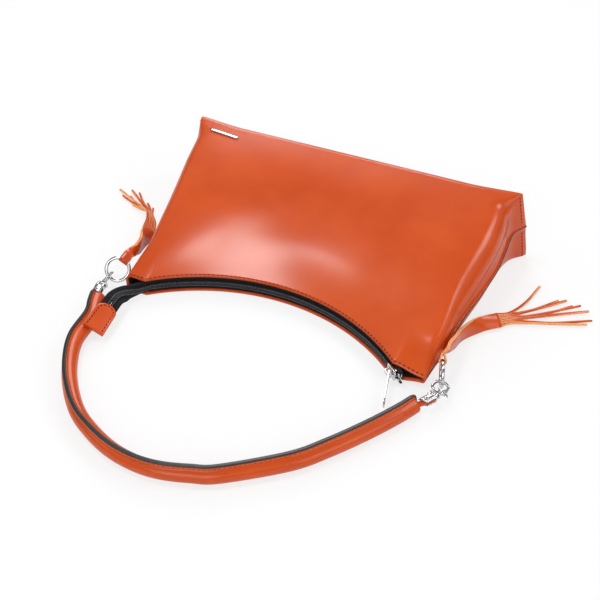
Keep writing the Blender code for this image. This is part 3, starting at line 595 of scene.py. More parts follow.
@dataclass(frozen=True)
class Thread:
    """Twisted sewing thread."""

    name: str
    colour: Colour
    roughness: float = 0.6

    def build(self) -> bpy.types.Material:
        """The finished material."""
        made, sheet, shader = new_material(self.name)
        twist = sheet.texture("ShaderNodeTexWave", Scale=900.0, Distortion=1.5, bands_direction="DIAGONAL")
        dark = tuple(c * 0.55 for c in self.colour)
        sheet.colour(shader, twist.outputs["Fac"], [(0.1, dark), (0.7, self.colour)])
        sheet.bump(shader, twist.outputs["Fac"], 0.4, 0.0002)
        dial(shader, Roughness=self.roughness, Specular_IOR_Level=0.2)
        return made


@dataclass(frozen=True)
class Cloth:
    """Woven cloth, drawn on the piece's own UV map so that the weave follows the tape or the lining."""

    name: str
    colour: Colour
    light: Colour
    threads: float
    sheen: float = 0.25

    def build(self) -> bpy.types.Material:
        """The finished material."""
        made, sheet, shader = new_material(self.name)
        where = sheet.add("ShaderNodeUVMap", uv_map="surface")
        turn = sheet.add("ShaderNodeMapping", Rotation=(0, 0, math.radians(45)))
        sheet.link(where.outputs["UV"], turn.inputs["Vector"])
        warp = sheet.add("ShaderNodeTexWave", Scale=self.threads, Distortion=0.4)
        weft = sheet.add("ShaderNodeTexWave", Scale=self.threads, Distortion=0.4, bands_direction="Y")
        sheet.link(turn.outputs["Vector"], warp.inputs["Vector"])
        sheet.link(where.outputs["UV"], weft.inputs["Vector"])
        weave = sheet.add("ShaderNodeMix", data_type="FLOAT", Factor=0.5)
        sheet.link(warp.outputs["Fac"], weave.inputs[2])
        sheet.link(weft.outputs["Fac"], weave.inputs[3])
        sheet.colour(shader, weave.outputs[0], [(0.2, self.colour), (0.85, self.light)])
        sheet.bump(shader, weave.outputs[0], 0.6, 0.00025)
        dial(shader, Roughness=0.8, Specular_IOR_Level=0.25, Sheen_Weight=self.sheen, Sheen_Roughness=0.4)
        return made


@dataclass(frozen=True)
class Nylon:
    """The dark, slightly glossy filament of the zip's coil."""

    name: str = "coil_nylon"
    colour: Colour = (0.009, 0.009, 0.011)
    light: Colour = (0.018, 0.018, 0.022)

    def build(self) -> bpy.types.Material:
        """The finished material."""
        made, sheet, shader = new_material(self.name)
        flow = sheet.texture("ShaderNodeTexNoise", Scale=600.0, Detail=2.0)
        sheet.colour(shader, flow.outputs["Fac"], [(0.3, self.colour), (0.75, self.light)])
        dial(shader, Roughness=0.3)
        return made


@dataclass(frozen=True)
class PolishedMetal:
    """Bright plated metal with the faint rub marks of handling."""

    name: str = "bright_plate"
    colour: Colour = (0.60, 0.60, 0.61)
    roughness: float = 0.12

    def build(self) -> bpy.types.Material:
        """The finished material."""
        made, sheet, shader = new_material(self.name)
        rub = sheet.texture("ShaderNodeTexNoise", Scale=260.0, Detail=6.0, Roughness=0.7)
        span = sheet.add("ShaderNodeMapRange", From_Min=0.35, From_Max=0.75)
        dial(span, To_Min=self.roughness, To_Max=self.roughness + 0.14)
        sheet.link(rub.outputs["Fac"], span.inputs["Value"])
        sheet.link(span.outputs["Result"], shader.inputs["Roughness"])
        worn = tuple(c * 0.86 for c in self.colour)
        sheet.colour(shader, rub.outputs["Fac"], [(0.3, self.colour), (0.9, worn)])
        dial(shader, Metallic=1.0)
        return made


@dataclass
class Finishes:
    """Every finish of the bag, built once."""

    leather: bpy.types.Material = field(init=False)
    cut_edge: bpy.types.Material = field(init=False)
    edge_paint: bpy.types.Material = field(init=False)
    dark_thread_and_hole_shade: bpy.types.Material = field(init=False)
    light_thread: bpy.types.Material = field(init=False)
    grey_thread: bpy.types.Material = field(init=False)
    seam_paint_and_shade: bpy.types.Material = field(init=False)
    lining: bpy.types.Material = field(init=False)
    tape: bpy.types.Material = field(init=False)
    nylon: bpy.types.Material = field(init=False)
    metal: bpy.types.Material = field(init=False)

    def __post_init__(self) -> None:
        """Build each material."""
        self.leather = Leather("rust_leather", (0.60, 0.078, 0.010), (0.53, 0.060, 0.006)).build()
        pale, tan = (0.90, 0.42, 0.19), (0.76, 0.29, 0.10)
        self.cut_edge = Leather("cut_edge", pale, tan, gloss=0.7, glaze=0.0).build()
        self.edge_paint = EdgePaint().build()
        # Rust-brown thread made darker still: painted shade of the stitch holes, carried in the thread's
        # colour.
        self.dark_thread_and_hole_shade = Thread("rust_thread_and_hole_shade", (0.085, 0.012, 0.004)).build()
        self.light_thread = Thread("orange_thread", (0.84, 0.26, 0.08)).build()
        self.grey_thread = Thread("grey_thread", (0.34, 0.34, 0.37)).build()
        # Dark brown seam bead: partly the painted cut edge, partly painted shade under the lip of the seam.
        self.seam_paint_and_shade = EdgePaint("seam_paint_and_shade", (0.045, 0.007, 0.003), (0.09, 0.014, 0.005)).build()
        self.lining = Cloth("lining_cloth", (0.004, 0.004, 0.005), (0.014, 0.014, 0.017), 900.0, 0.05).build()
        self.tape = Cloth("tape_cloth", (0.004, 0.004, 0.005), (0.013, 0.013, 0.016), 700.0, 0.05).build()
        self.nylon = Nylon().build()
        self.metal = PolishedMetal().build()


@dataclass
class BagBody:
    """The leather body: two panels that meet up the gussets and along the base, and the lining in it."""

    width_top: float = 262.0
    width_base: float = 300.0
    top_shift: float = 1.5
    mouth_y: float = -95.0
    base_y: float = 88.0
    mouth_depth: float = 15.0
    base_depth: float = 69.0
    base_lean: float = 0.14
    bulge: float = 0.07
    corner_top: float = 6.0
    corner_base: float = 13.5
    corner_tip: float = 1.6
    fold_round: float = 6.0
    seam_round: float = 1.8
    back_right: Profile = (
        (0, -2), (0.2, -2.4), (0.4, -3.8), (0.59, -3.8), (0.8, -5.1), (0.93, -1.8), (0.985, 5.6), (1, 5.6)
    )
    seam_right: Profile = (
        (0, -1.8), (0.18, -1.8), (0.33, -3.4), (0.51, -0.7), (0.67, 0.4), (0.81, -2.0), (0.925, -4.0),
        (0.985, 2.6), (1, 2.6)
    )
    fold_right: Profile = (
        (0, -4.4), (0.14, -2.6), (0.27, -2.8), (0.37, -4.0), (0.46, -4.7), (0.61, -3.9), (0.73, -3.8),
        (0.82, -5.8), (0.915, -9.0), (0.985, -3.4), (1, -3.4)
    )
    back_left: Profile = ((0, 0), (0.2, -2), (0.5, -2.5), (0.86, -1), (0.985, 3.0), (1, 3.0))
    seam_left: Profile = (
        (0, 0), (0.1, -2), (0.2, -3.6), (0.45, -3), (0.72, -1.4), (0.9, -0.8), (0.985, 1.5), (1, 1.5)
    )
    fold_left: Profile = (
        (0, 0), (0.1, -3.0), (0.19, -5.2), (0.28, -4.2), (0.42, -3.0), (0.59, -2.2), (0.72, -0.9),
        (0.86, -0.6), (0.985, 0.4), (1, 0.4)
    )
    leather_thick: float = 1.5
    arc_x: float = -6.0
    arc_y: float = -216.5
    edge_r: float = 162.0
    shoulder_left_y: float = -92.5
    shoulder_right_y: float = -98.5
    lining_gap: float = 0.5
    lining_thick: float = 0.5
    lining_short: float = 3.6
    hem_inset: float = 1.7
    corner_seam: float = 5.2
    # Radius of the dark seam bead, which also carries the painted shade of the seam's lip.
    paint_and_shade_bead: float = 0.42
    lip_height: float = 1.6
    pinch: float = 0.60
    rows: int = 64
    fold_rows: int = 7
    base_rows: int = 8
    front_columns: int = 96
    side_columns: int = 9
    corner_columns: int = 8

    def depth_at(self, s: float) -> float:
        """The bag's depth a share s of the way from the mouth to the base."""
        swell = self.bulge * (self.base_depth - self.mouth_depth) * hump(s)
        return lerp(self.mouth_depth, self.base_depth, s) + swell

    def mouth_line(self, x: float) -> float:
        """How far back the mouth's edge lies at this place across the bag."""
        reach = self.edge_r**2 - (x - self.arc_x) ** 2
        curve = self.arc_y + math.sqrt(reach) if reach > 0 else -500.0
        shoulder = lerp(self.shoulder_left_y, self.shoulder_right_y, x / self.width_top + 0.5)
        return max(curve, shoulder)

    def rest_line(self, x: float) -> float:
        """The mouth's line with its shoulders eased away, which the leather follows further down."""
        return sum(self.mouth_line(x + 10.0 * k) for k in range(-4, 5)) / 9

    def seam_height(self, s: float) -> float:
        """The height of the seam in the middle of the gusset."""
        return lerp(self.mouth_depth, self.base_depth, s) / 2

    def lip_at(self, s: float) -> float:
        """How far the two plies stand out at the gusset's seam, least at the mouth and at the base."""
        return self.lip_height * ease((s - 0.04) / 0.22) * (1.0 - 0.6 * ease((s - 0.88) / 0.10))

    def tip_at(self, s: float) -> float:
        """How much of the corner's pull is felt at this height: all of it at the base, none further up."""
        return ease((s - 0.88) / 0.11)

    def half_at(self, s: float, rise: float, side: int) -> float:
        """Half of the bag's width on one side.

        Args:
            s: The share of the way from the mouth to the base.
            rise: The share of the way from the back panel to the front.
            side: 1 on the right and -1 on the left.

        Returns:
            The distance from the middle line, in millimetres.
        """
        plain = lerp(self.width_top, self.width_base, s) / 2
        if side > 0:
            low, middle, high = self.back_right, self.seam_right, self.fold_right
        else:
            low, middle, high = self.back_left, self.seam_left, self.fold_left
        if rise < 0.5:
            return plain + lerp(along(low, s), along(middle, s), ease(rise / 0.5))
        return plain + lerp(along(middle, s), along(high, s), (rise - 0.5) / 0.5)

    def columns(self) -> list[Column]:
        """The columns of one panel from its right seam round to its left seam.

        Returns:
            The stretch, the side and the share along that stretch of each column.
        """
        out: list[Column] = []
        right: list[Column] = [("lip", 1, 1.0), ("lip", 1, 0.5), ("lip", 1, 0.12)]
        right += [("gusset", 1, k / self.side_columns) for k in range(1, self.side_columns)]
        right += [("corner", 1, k / self.corner_columns) for k in range(self.corner_columns)]
        out += right
        out += [("front", 1, k / self.front_columns) for k in range(self.front_columns + 1)]
        out += [(part, -1, share) for part, _, share in reversed(right)]
        return out

    def point(
        self, panel: Panel, column: Column, s: float, inset: float = 0.0, base_y: float | None = None
    ) -> Vector:
        """One point of a panel's outer face.

        Args:
            panel: The front or the back.
            column: The stretch, side and share, as columns() gives them.
            s: The share of the way from the mouth to the base.
            inset: How far inside the outer face.
            base_y: A fixed place along Y, for the fold over the base.

        Returns:
            The point, in millimetres.
        """
        part, side, share = column
        plain = lerp(self.width_top, self.width_base, s) / 2
        depth = self.depth_at(s)
        seam = self.seam_height(s)
        front = panel is Panel.FRONT
        inwards = -1.0 if front else 1.0
        reach = 1 - 2 * share if part == "front" else side
        pinch = self.pinch * ease((reach - 0.86) / 0.14) * (1 - ease(s / 0.16))
        edge = lerp(depth if front else 0.0, seam, pinch) + inwards * inset
        radius = lerp(self.corner_top, self.corner_base, ease(s / 0.5))
        if not front:
            radius = min(radius, 7.0)
        radius = lerp(radius, self.corner_tip, self.tip_at(s)) - inset
        radius = max(0.5, min(radius, abs(edge - seam) * 0.8))
        start = seam - inwards * 0.12
        turn_at = edge + inwards * radius
        rim = min(0.9, abs(turn_at - start) * 0.5)

        def side_at(height: float, which: int) -> float:
            """The width on one side at this height, inside the leather if an inset is asked for."""
            return self.half_at(s, min(1.0, max(0.0, height / depth)), which) - inset

        if part == "lip":
            pz = start - inwards * rim * (1 - share) ** 2
            lip = self.lip_at(s) * (1.0 if inset == 0 else 0.0)
            px = side_at(pz, side) + lip * share
        elif part == "gusset":
            pz = lerp(start - inwards * rim, turn_at, share)
            hollow = 1.7 * hump(share) * hump(s) * (1.0 if inset < 0.5 else 0.3)
            px = side_at(pz, side) - hollow
        elif part == "corner":
            a = math.radians(90 * share)
            pz = turn_at - inwards * radius * math.sin(a)
            px = lerp(side_at(turn_at, side), side_at(edge, side), share) - radius + radius * math.cos(a)
        else:
            pz = edge
            px = lerp(side_at(edge, 1) - radius, radius - side_at(edge, -1), share)
        px = px * side if part != "front" else px
        across = min(1.0, abs(px) / plain)
        if front and part in ("front", "corner"):
            pz += 3.0 * hump(s) * (1 - across**2)
        if front and part == "front" and s > 0:
            pz += self.sag(px, s) * hump(s) * hump(share)
        lean = self.base_lean * min(1.0, max(0.0, s))
        y = base_y
        if y is None:
            top_x = self.top_shift + px / plain * self.width_top / 2
            start_y = lerp(self.mouth_line(top_x), self.rest_line(top_x), ease(s / 0.30))
            y = start_y + s * (self.base_y - start_y)
        y += self.tip_at(s) * ease((across - 0.86) / 0.12) * lerp(4.2, 0.6, pz / depth)
        return Vector((self.top_shift * (1 - s) + px, y - lean * pz, pz))

    def sag(self, px: float, s: float) -> float:
        """How the soft front rises and falls: slow waves, a dent by the mouth, a ridge by the right fold."""
        wave = 1.3 * noise.noise(Vector((px / 70, s * 2.4, 3.1)))
        dent = -1.1 * math.exp(-(((px + 62) / 34) ** 2) - ((s - 0.22) / 0.16) ** 2)
        ridge_x = lerp(100.0, 119.0, s)
        ridge = 0.5 * math.exp(-(((px - ridge_x) / 11) ** 2)) * ease(s / 0.25)
        return wave + dent + ridge

    def on_front(self, x: float, y: float) -> Vector:
        """The point of the front face over a place in the plan."""
        s, share = 0.7, 0.5
        for _ in range(16):
            found = self.point(Panel.FRONT, ("front", 1, share), s)
            s += (y - found.y) / (self.base_y - self.mouth_y)
            share -= (x - found.x) / (2 * self.half_at(s, 1.0, 1))
        return self.point(Panel.FRONT, ("front", 1, share), s)

    def fold_radius(self, column: Column) -> float:
        """The roundness of the turn onto the base: soft on the front, crisp at the sewn corners."""
        part, _, share = column
        if part == "front":
            reach = min(share, 1 - share) * self.width_base
            return lerp(self.seam_round + 0.4, self.fold_round, ease(reach / 42))
        if part == "corner":
            return lerp(self.seam_round, self.seam_round + 0.4, share)
        return self.seam_round

    def panel_rings(self, panel: Panel) -> list[Ring]:
        """The rows of one panel, from the mouth over the fold to the middle of the base."""
        columns = self.columns()
        length = self.base_y - self.mouth_y
        rings: list[Ring] = []
        for i in range(self.rows + 1):
            ring = []
            for column in columns:
                last = 1 - self.fold_radius(column) / length
                ring.append(self.point(panel, column, last * i / self.rows))
            rings.append(ring)
        for i in range(1, self.fold_rows + 1):
            a = math.radians(90 * i / self.fold_rows)
            ring = []
            for column in columns:
                r = self.fold_radius(column)
                y = self.base_y - r + r * math.sin(a)
                ring.append(self.point(panel, column, 1 - r / length, r * (1 - math.cos(a)), y))
            rings.append(ring)
        edge = rings[-1]
        half = max(p.x for p in edge)
        seam = self.seam_height(1.0)
        top = max(p.z for p in edge) if panel is Panel.FRONT else min(p.z for p in edge)
        shrink = abs(top - seam) * 0.45
        for i in range(1, self.base_rows + 1):
            t = i / self.base_rows
            ring = []
            for p in edge:
                rise = min(1.0, abs(p.z - seam) / abs(top - seam))
                goal_x = math.copysign(min(abs(p.x), half - shrink * rise), p.x)
                if abs(p.x) < half - 1.0:
                    goal_x = p.x * (half - shrink) / half
                goal = Vector((goal_x, self.base_y - self.base_lean * seam, seam))
                q = p.lerp(goal, t)
                q.z += (0.12 if panel is Panel.FRONT else -0.12) * t
                belly = 0.9 * hump(t * 0.5) * (1 - (q.x / self.width_base * 2) ** 2)
                q.y += belly - 0.7 * ease((t - 0.8) / 0.2)
                ring.append(q)
            rings.append(ring)
        return rings

    def build_panels(self, workshop: Workshop, finishes: Finishes) -> None:
        """Make the front and back leathers, each one piece from the mouth to the seam in the base."""
        inside = Vector((0, 30, 30))
        for panel in Panel:
            bm = skin(self.panel_rings(panel))
            turn_outwards(bm, inside)
            name, node = panel.value + "_leather", panel.value + "_panel"
            thick = wall(self.leather_thick)
            workshop.piece(name, bm, [finishes.leather], Body.BAG.value, "leather", [node], modifiers=thick)

    def build_lining(self, workshop: Workshop, finishes: Finishes) -> None:
        """Make the cloth lining, a pouch that stands just inside the leather."""
        rings: list[Ring] = []
        inset = self.leather_thick + self.lining_gap
        count = 30
        columns = self.columns()[2:-2]
        for i in range(count + 1):
            s = lerp(0.01, 0.975, i / count)
            ring = [self.point(Panel.FRONT, column, s, inset) for column in columns[::3]]
            ring += [self.point(Panel.BACK, column, s, inset) for column in reversed(columns[::3])]
            rings.append(ring)
        shut = []
        for p in rings[-1]:
            rise = lerp(p.z, self.base_depth / 2, 0.97)
            shut.append(Vector((p.x * 0.9, self.base_y - self.base_lean * rise - self.lining_short, rise)))
        rings.append(shut)
        bm = skin(rings, closed=True)
        turn_outwards(bm, Vector((0, 30, 30)))
        cloth, body, thick = [finishes.lining], Body.BAG.value, wall(self.lining_thick)
        workshop.piece("lining_pouch", bm, cloth, body, "lining_cloth", ["lining"], modifiers=thick)

    def build_stitching(self, workshop: Workshop, finishes: Finishes) -> None:
        """Sew the mouth's hem on both panels and the box corners at the base."""
        bm = bmesh.new()
        length = self.base_y - self.mouth_y
        for panel in Panel:
            path, outwards = [], []
            up = Z if panel is Panel.FRONT else -Z
            for column in self.columns():
                if column[0] not in ("front", "corner") or column[0] == "corner" and column[2] < 0.6:
                    continue
                path.append(self.point(panel, column, self.hem_inset / length) + up * 0.2)
                outwards.append(up)
            add_stitches(bm, path, outwards, pitch=3.6, length=2.2, thread=1.0, slant=14.0)
            for side in (1, -1):
                path, outwards = [], []
                for column in self.columns():
                    if column[1] != side or column[0] not in ("gusset", "corner"):
                        continue
                    if column[0] == "corner" and column[2] > 0.5:
                        continue
                    path.append(self.point(panel, column, 1 - self.corner_seam / length) + X * (side * 0.15))
                    outwards.append(X * side)
                add_stitches(bm, path, outwards, pitch=3.4, length=2.2, thread=0.9, slant=20.0)
        workshop.piece("body_stitching", bm, [finishes.dark_thread_and_hole_shade], Body.BAG.value, "leather")

    def build_seam_paint_and_shade(self, workshop: Workshop, finishes: Finishes) -> None:
        """Paint the cut edge of the front leather where it laps over the back one up each gusset, in a bead
        darker than the leather: a painted edge, and the painted shade of the seam's lip.
        """
        bm = bmesh.new()
        outline = circle(self.paint_and_shade_bead, 8)
        for side in (1, -1):
            path = [self.point(Panel.FRONT, ("lip", side, 1.0), lerp(0.02, 0.988, k / 70)) for k in range(71)]
            rings = []
            for point, way in zip(path, ways(path)):
                rings.append(in_plane(point, X, X.cross(way).normalized(), outline))
            join_into(bm, skin(rings, closed=True, capped=True))
        workshop.piece("seam_paint_and_shade", bm, [finishes.seam_paint_and_shade], Body.BAG.value, "leather")

    def build_plate(self, workshop: Workshop, finishes: Finishes) -> None:
        """Set a slim plain metal bar near the base's left corner."""
        first, last = Vector((-134.5, 64.6, 0)), Vector((-104.0, 61.6, 0))
        rings: list[Ring] = []
        stations = 13
        outline = rounded_bar(1.7, 0.75, 0.5)
        for i in range(stations):
            t = i / (stations - 1)
            at = first.lerp(last, t)
            at = self.on_front(at.x, at.y) + Z * 0.6
            end = min(t, 1 - t) * (last - first).length
            small = math.sqrt(max(0.02, 1 - (1 - min(1.0, end / 1.7)) ** 2))
            way = (last - first).normalized()
            rings.append(in_plane(at, Z.cross(way) * small, Z, outline))
        bm = skin(rings, closed=True, capped=True)
        workshop.piece("front_bar", bm, [finishes.metal], Body.BAG.value, "metal")

    def build(self, workshop: Workshop, finishes: Finishes) -> None:
        """Build the whole body."""
        self.build_panels(workshop, finishes)
        self.build_lining(workshop, finishes)
        self.build_stitching(workshop, finishes)
        self.build_seam_paint_and_shade(workshop, finishes)
        self.build_plate(workshop, finishes)


@dataclass
class Station:
    """A place along the zip."""

    point: Vector
    width: Vector
    face: Vector
    flat: float
    angle: float


@dataclass
class Zip:
    """The zip: two tapes with a coil each, the slider with its pull, the stops and the leather end tab."""

    arc: Vector = field(default_factory=lambda: Vector((-6.0, -216.5, 0.0)))
    tape_r: float = 164.3
    zip_z: float = 7.5
    tape_from: float = 43.4
    tape_to: float = 129.0
    slider_at: float = 46.4
    tape_half: float = 7.2
    tape_turn: float = 5.4
    tape_thick: float = 0.5
    sewing_off: float = 1.75
    sewing_lift: float = 2.45
    coil_pitch: float = 1.9
    coil_from: float = 0.8
    coil_half: float = 2.6
    tab_tilt: float = 28.0
    tab_length: float = 27.0
    tab_width: float = 16.6
    tab_thick: float = 3.8

    def on_arc(self, angle: float) -> Vector:
        """A point of the zip's middle line on the mouth's circle."""
        a = math.radians(angle)
        return self.arc + Vector((self.tape_r * math.cos(a), self.tape_r * math.sin(a), self.zip_z))

    def tail(self) -> list[Vector]:
        """The route of the tape's free end, from the circle out past the corner."""
        end = self.on_arc(self.tape_to)
        offsets = [(-7.2, -10.2, 0.0), (-11.2, -19.2, 2.2), (-12.2, -28.2, 5.0), (-11.6, -34.2, 6.1)]
        offsets += [(-11.2, -39.2, 5.6), (-10.4, -49.2, 4.6), (-9.28, -63.2, 3.2)]
        return [end] + [end + Vector(o) for o in offsets]

    def stations(self, step: float, tail_step: float) -> list[Station]:
        """Places along the whole zip.

        Args:
            step: The spacing on the circle.
            tail_step: The spacing along the free end.

        Returns:
            The stations, from the slider's end to the end tab.
        """
        out: list[Station] = []
        count = int((self.tape_to - self.tape_from) / math.degrees(step / self.tape_r))
        for i in range(count):
            angle = lerp(self.tape_from, self.tape_to, i / count)
            point = self.on_arc(angle)
            face = Vector((self.arc.x - point.x, self.arc.y - point.y, 0)).normalized()
            out.append(Station(point, Z.copy(), face, 0.0, angle))
        path = smooth_path(self.tail(), int(68 / tail_step))
        travel = ways(path)
        a = math.radians(self.tape_to)
        travel[0] = Vector((-math.sin(a), math.cos(a), 0))
        for i, (point, way) in enumerate(zip(path, travel)):
            t = i / (len(path) - 1)
            turn = ease((t - 0.08) / 0.40) * math.radians(90 - self.tab_tilt)
            left = Z.cross(way).normalized() * -1
            up = way.cross(left).normalized() * -1
            if up.z < 0:
                up = -up
            width = up * math.cos(turn) + left * math.sin(turn)
            out.append(Station(point, width, width.cross(way).normalized(), ease((t - 0.15) / 0.30), 180.0))
        return out

    def tape_profile(self, station: Station) -> list[tuple[float, float]]:
        """Half of the tape across the zip: folded down behind the leather on the circle, flat on the tail."""
        parted = 1.45 * ease((self.slider_at + 1.2 - station.angle) / 1.6)
        edge = 0.15 + parted
        deep = lerp(7.0, 2.0, max(ease((station.angle - 114) / 9), ease((52 - station.angle) / 5)))
        turn, out = self.tape_turn - 0.1, []
        for k in range(15):
            t = k / 14
            if t < 0.6:
                folded = (lerp(edge, turn - 0.9, t / 0.6), 0.3)
            elif t < 0.8:
                a = math.radians(90 * (t - 0.6) / 0.2)
                folded = (turn - 0.9 + 0.9 * math.sin(a), 0.3 - 0.9 * (1 - math.cos(a)))
            else:
                folded = (turn, lerp(-0.6, -deep, (t - 0.8) / 0.2))
            flat = (lerp(edge, self.tape_half, t), 0.3)
            mix = station.flat
            out.append((lerp(folded[0], flat[0], mix), lerp(folded[1], flat[1], mix)))
        return out

    def build_tapes(self, workshop: Workshop, finishes: Finishes) -> None:
        """Weave the two tapes, which bend from the bag to the handle at the tail, and sew them."""
        for side, part in ((1, "front"), (-1, "back")):
            rings = []
            for station in self.stations(2.0, 1.0):
                outline = [(side * w, n) for w, n in self.tape_profile(station)]
                rings.append(in_plane(station.point, station.width, station.face, outline))
            bm = skin(rings)
            self.face_out(bm)
            sewing = bmesh.new()
            path, outwards = [], []
            for station in self.stations(2.0, 2.0)[3:-11]:
                off = station.width * (side * self.sewing_off)
                path.append(station.point + off + station.face * self.sewing_lift)
                outwards.append(station.face)
            add_stitches(sewing, path, outwards, pitch=2.0, length=1.05, thread=0.5)
            cloth, node = "zip_cloth_" + part, "zip_tape_" + part
            self.bending(cloth, bm, [finishes.tape], [node], workshop, True)
            row = "zip_sewing_" + part
            self.bending(row, sewing, [finishes.grey_thread], [], workshop, False)

    def face_out(self, bm: bmesh.types.BMesh) -> None:
        """Turn a tape so that its face looks out of the mouth."""
        bm.normal_update()
        near = [f for f in bm.faces if f.calc_center_median().y > -110]
        middle = Vector((self.arc.x, self.arc.y, self.zip_z))
        score = sum(f.normal.dot(middle - f.calc_center_median()) for f in near)
        if score < 0:
            bmesh.ops.reverse_faces(bm, faces=bm.faces)

    def bending(
        self,
        name: str,
        bm: bmesh.types.BMesh,
        materials: Sequence[bpy.types.Material],
        replaces: Sequence[str],
        workshop: Workshop,
        walled: bool,
    ) -> None:
        """Finish a piece of the zip, which runs along the bag's mouth up to the corner and on towards the
        handle.

        Args:
            name: The piece's name.
            bm: Its shape in millimetres.
            materials: Its materials.
            replaces: The CAD nodes that it stands for.
            workshop: Where it is finished.
            walled: Whether it is a cloth that gets its thickness here.
        """
        if walled:
            bmesh.ops.solidify(bm, geom=bm.faces[:], thickness=self.tape_thick)
            bmesh.ops.recalc_face_normals(bm, faces=bm.faces)
        made = workshop.lay(name, bm, materials)
        self.tail()[-3] * MM
        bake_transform(made)
        if replaces:
            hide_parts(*replaces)
        log.info("%s: %d faces from bag to handle", name, len(made.data.polygons))

    def build_coils(self, workshop: Workshop, finishes: Finishes) -> None:
        """Wind the two coils: a row of rounded loops on each tape, meshed past the slider."""
        fine = self.stations(0.5, 0.5)
        run = [0.0]
        for a, b in zip(fine, fine[1:]):
            run.append(run[-1] + (b.point - a.point).length)
        start = math.radians(self.slider_at + 0.4 - self.tape_from) * self.tape_r
        end = run[-1] - self.tab_length + 2.5
        for side, part, shift in ((1, "front", 0.0), (-1, "back", 0.5)):
            bm = bmesh.new()
            j = 0
            count = int((end - start) / self.coil_pitch)
            for i in range(count):
                goal = start + (i + shift) * self.coil_pitch
                while j < len(run) - 2 and run[j + 1] < goal:
                    j += 1
                here = fine[j]
                way = (fine[j + 1].point - here.point).normalized()
                made = bmesh.ops.create_uvsphere(bm, u_segments=8, v_segments=6, radius=1.0)
                reach = (self.coil_half + self.coil_from) / 2
                middle = here.point + here.width * (side * (self.coil_half - self.coil_from) / 2)
                middle += here.face * 1.55
                frame_of = Matrix((way * (self.coil_pitch * 0.34), here.width * reach, here.face * 0.95))
                turn = frame_of.transposed().to_4x4()
                turn.translation = middle
                swap = Matrix.Rotation(math.pi / 2, 4, "X")
                bmesh.ops.transform(bm, matrix=turn @ swap, verts=made["verts"])
            node = "zip_coil_" + part
            self.bending("coil_" + part, bm, [finishes.nylon], [node], workshop, False)

    def build_hardware(self, workshop: Workshop, finishes: Finishes) -> None:
        """Polish the slider, its pull and the two stops."""
        workshop.cast_copy("zip_slider", finishes.metal, Body.SLIDER.value, voxel=0.2, passes=3)
        workshop.cast_copy("zip_pull", finishes.metal, Body.PULL.value, voxel=0.22, passes=3)
        for part in ("zip_stop_front", "zip_stop_back"):
            workshop.cast_copy(part, finishes.metal, Body.BAG.value, voxel=0.18, passes=3)

    def build_end_tab(self, workshop: Workshop, finishes: Finishes) -> None:
        """Fold the leather tab round the tape's free end and sew it down both sides and its near end."""
        last = self.stations(6.0, 2.2)[-1]
        tail = self.tail()
        way = (tail[-1] - tail[-2]).normalized()
        near = last.point - way * (self.tab_length - 4.0)
        half = self.tab_width / 2

        def outline(inset: float) -> list[tuple[float, float]]:
            """The tab's outline, drawn in from its edge."""
            points = [(self.tab_length - inset * 0.4, -half - 0.6 + inset)]
            points.append((self.tab_length - inset * 0.4, half + 0.6 - inset))
            for i in range(25):
                a = math.radians(78 - 156 * i / 24)
                wide = (half - inset) * math.sin(a) / math.sin(math.radians(78))
                points.append((7.0 + inset * 0.3 - (7.0 - inset * 0.7) * math.cos(a), wide))
            return points

        thick = self.tab_thick / 2
        steps = [(1.4, -thick), (0.35, -thick + 0.1), (0.0, -thick + 0.6), (0.0, -0.2), (0.25, 0.0)]
        steps += [(0.0, 0.2), (0.0, thick - 0.6), (0.35, thick - 0.1), (1.4, thick), (4.0, thick + 0.1)]
        rings = []
        for inset, height in steps:
            rings.append(in_plane(near + last.face * height, way, last.width, outline(inset)))
        bm = skin(rings, closed=True, capped=True)
        row = outline(2.2)
        for lift in (thick + 0.15, -thick - 0.05):
            seam = in_plane(near + last.face * lift, way, last.width, row[1:] + row[:1])
            sew = bmesh.new()
            add_stitches(sew, seam, [last.face] * len(seam), pitch=3.2, length=2.1, thread=0.8)
            join_into(bm, sew, 1)
        finish = [finishes.leather, finishes.dark_thread_and_hole_shade]
        self.bending("end_tab_leather", bm, finish, ["zip_end_tab"], workshop, False)

    def build(self, workshop: Workshop, finishes: Finishes) -> None:
        """Build the whole zip."""
        self.build_tapes(workshop, finishes)
        self.build_coils(workshop, finishes)
        self.build_hardware(workshop, finishes)
        self.build_end_tab(workshop, finishes)


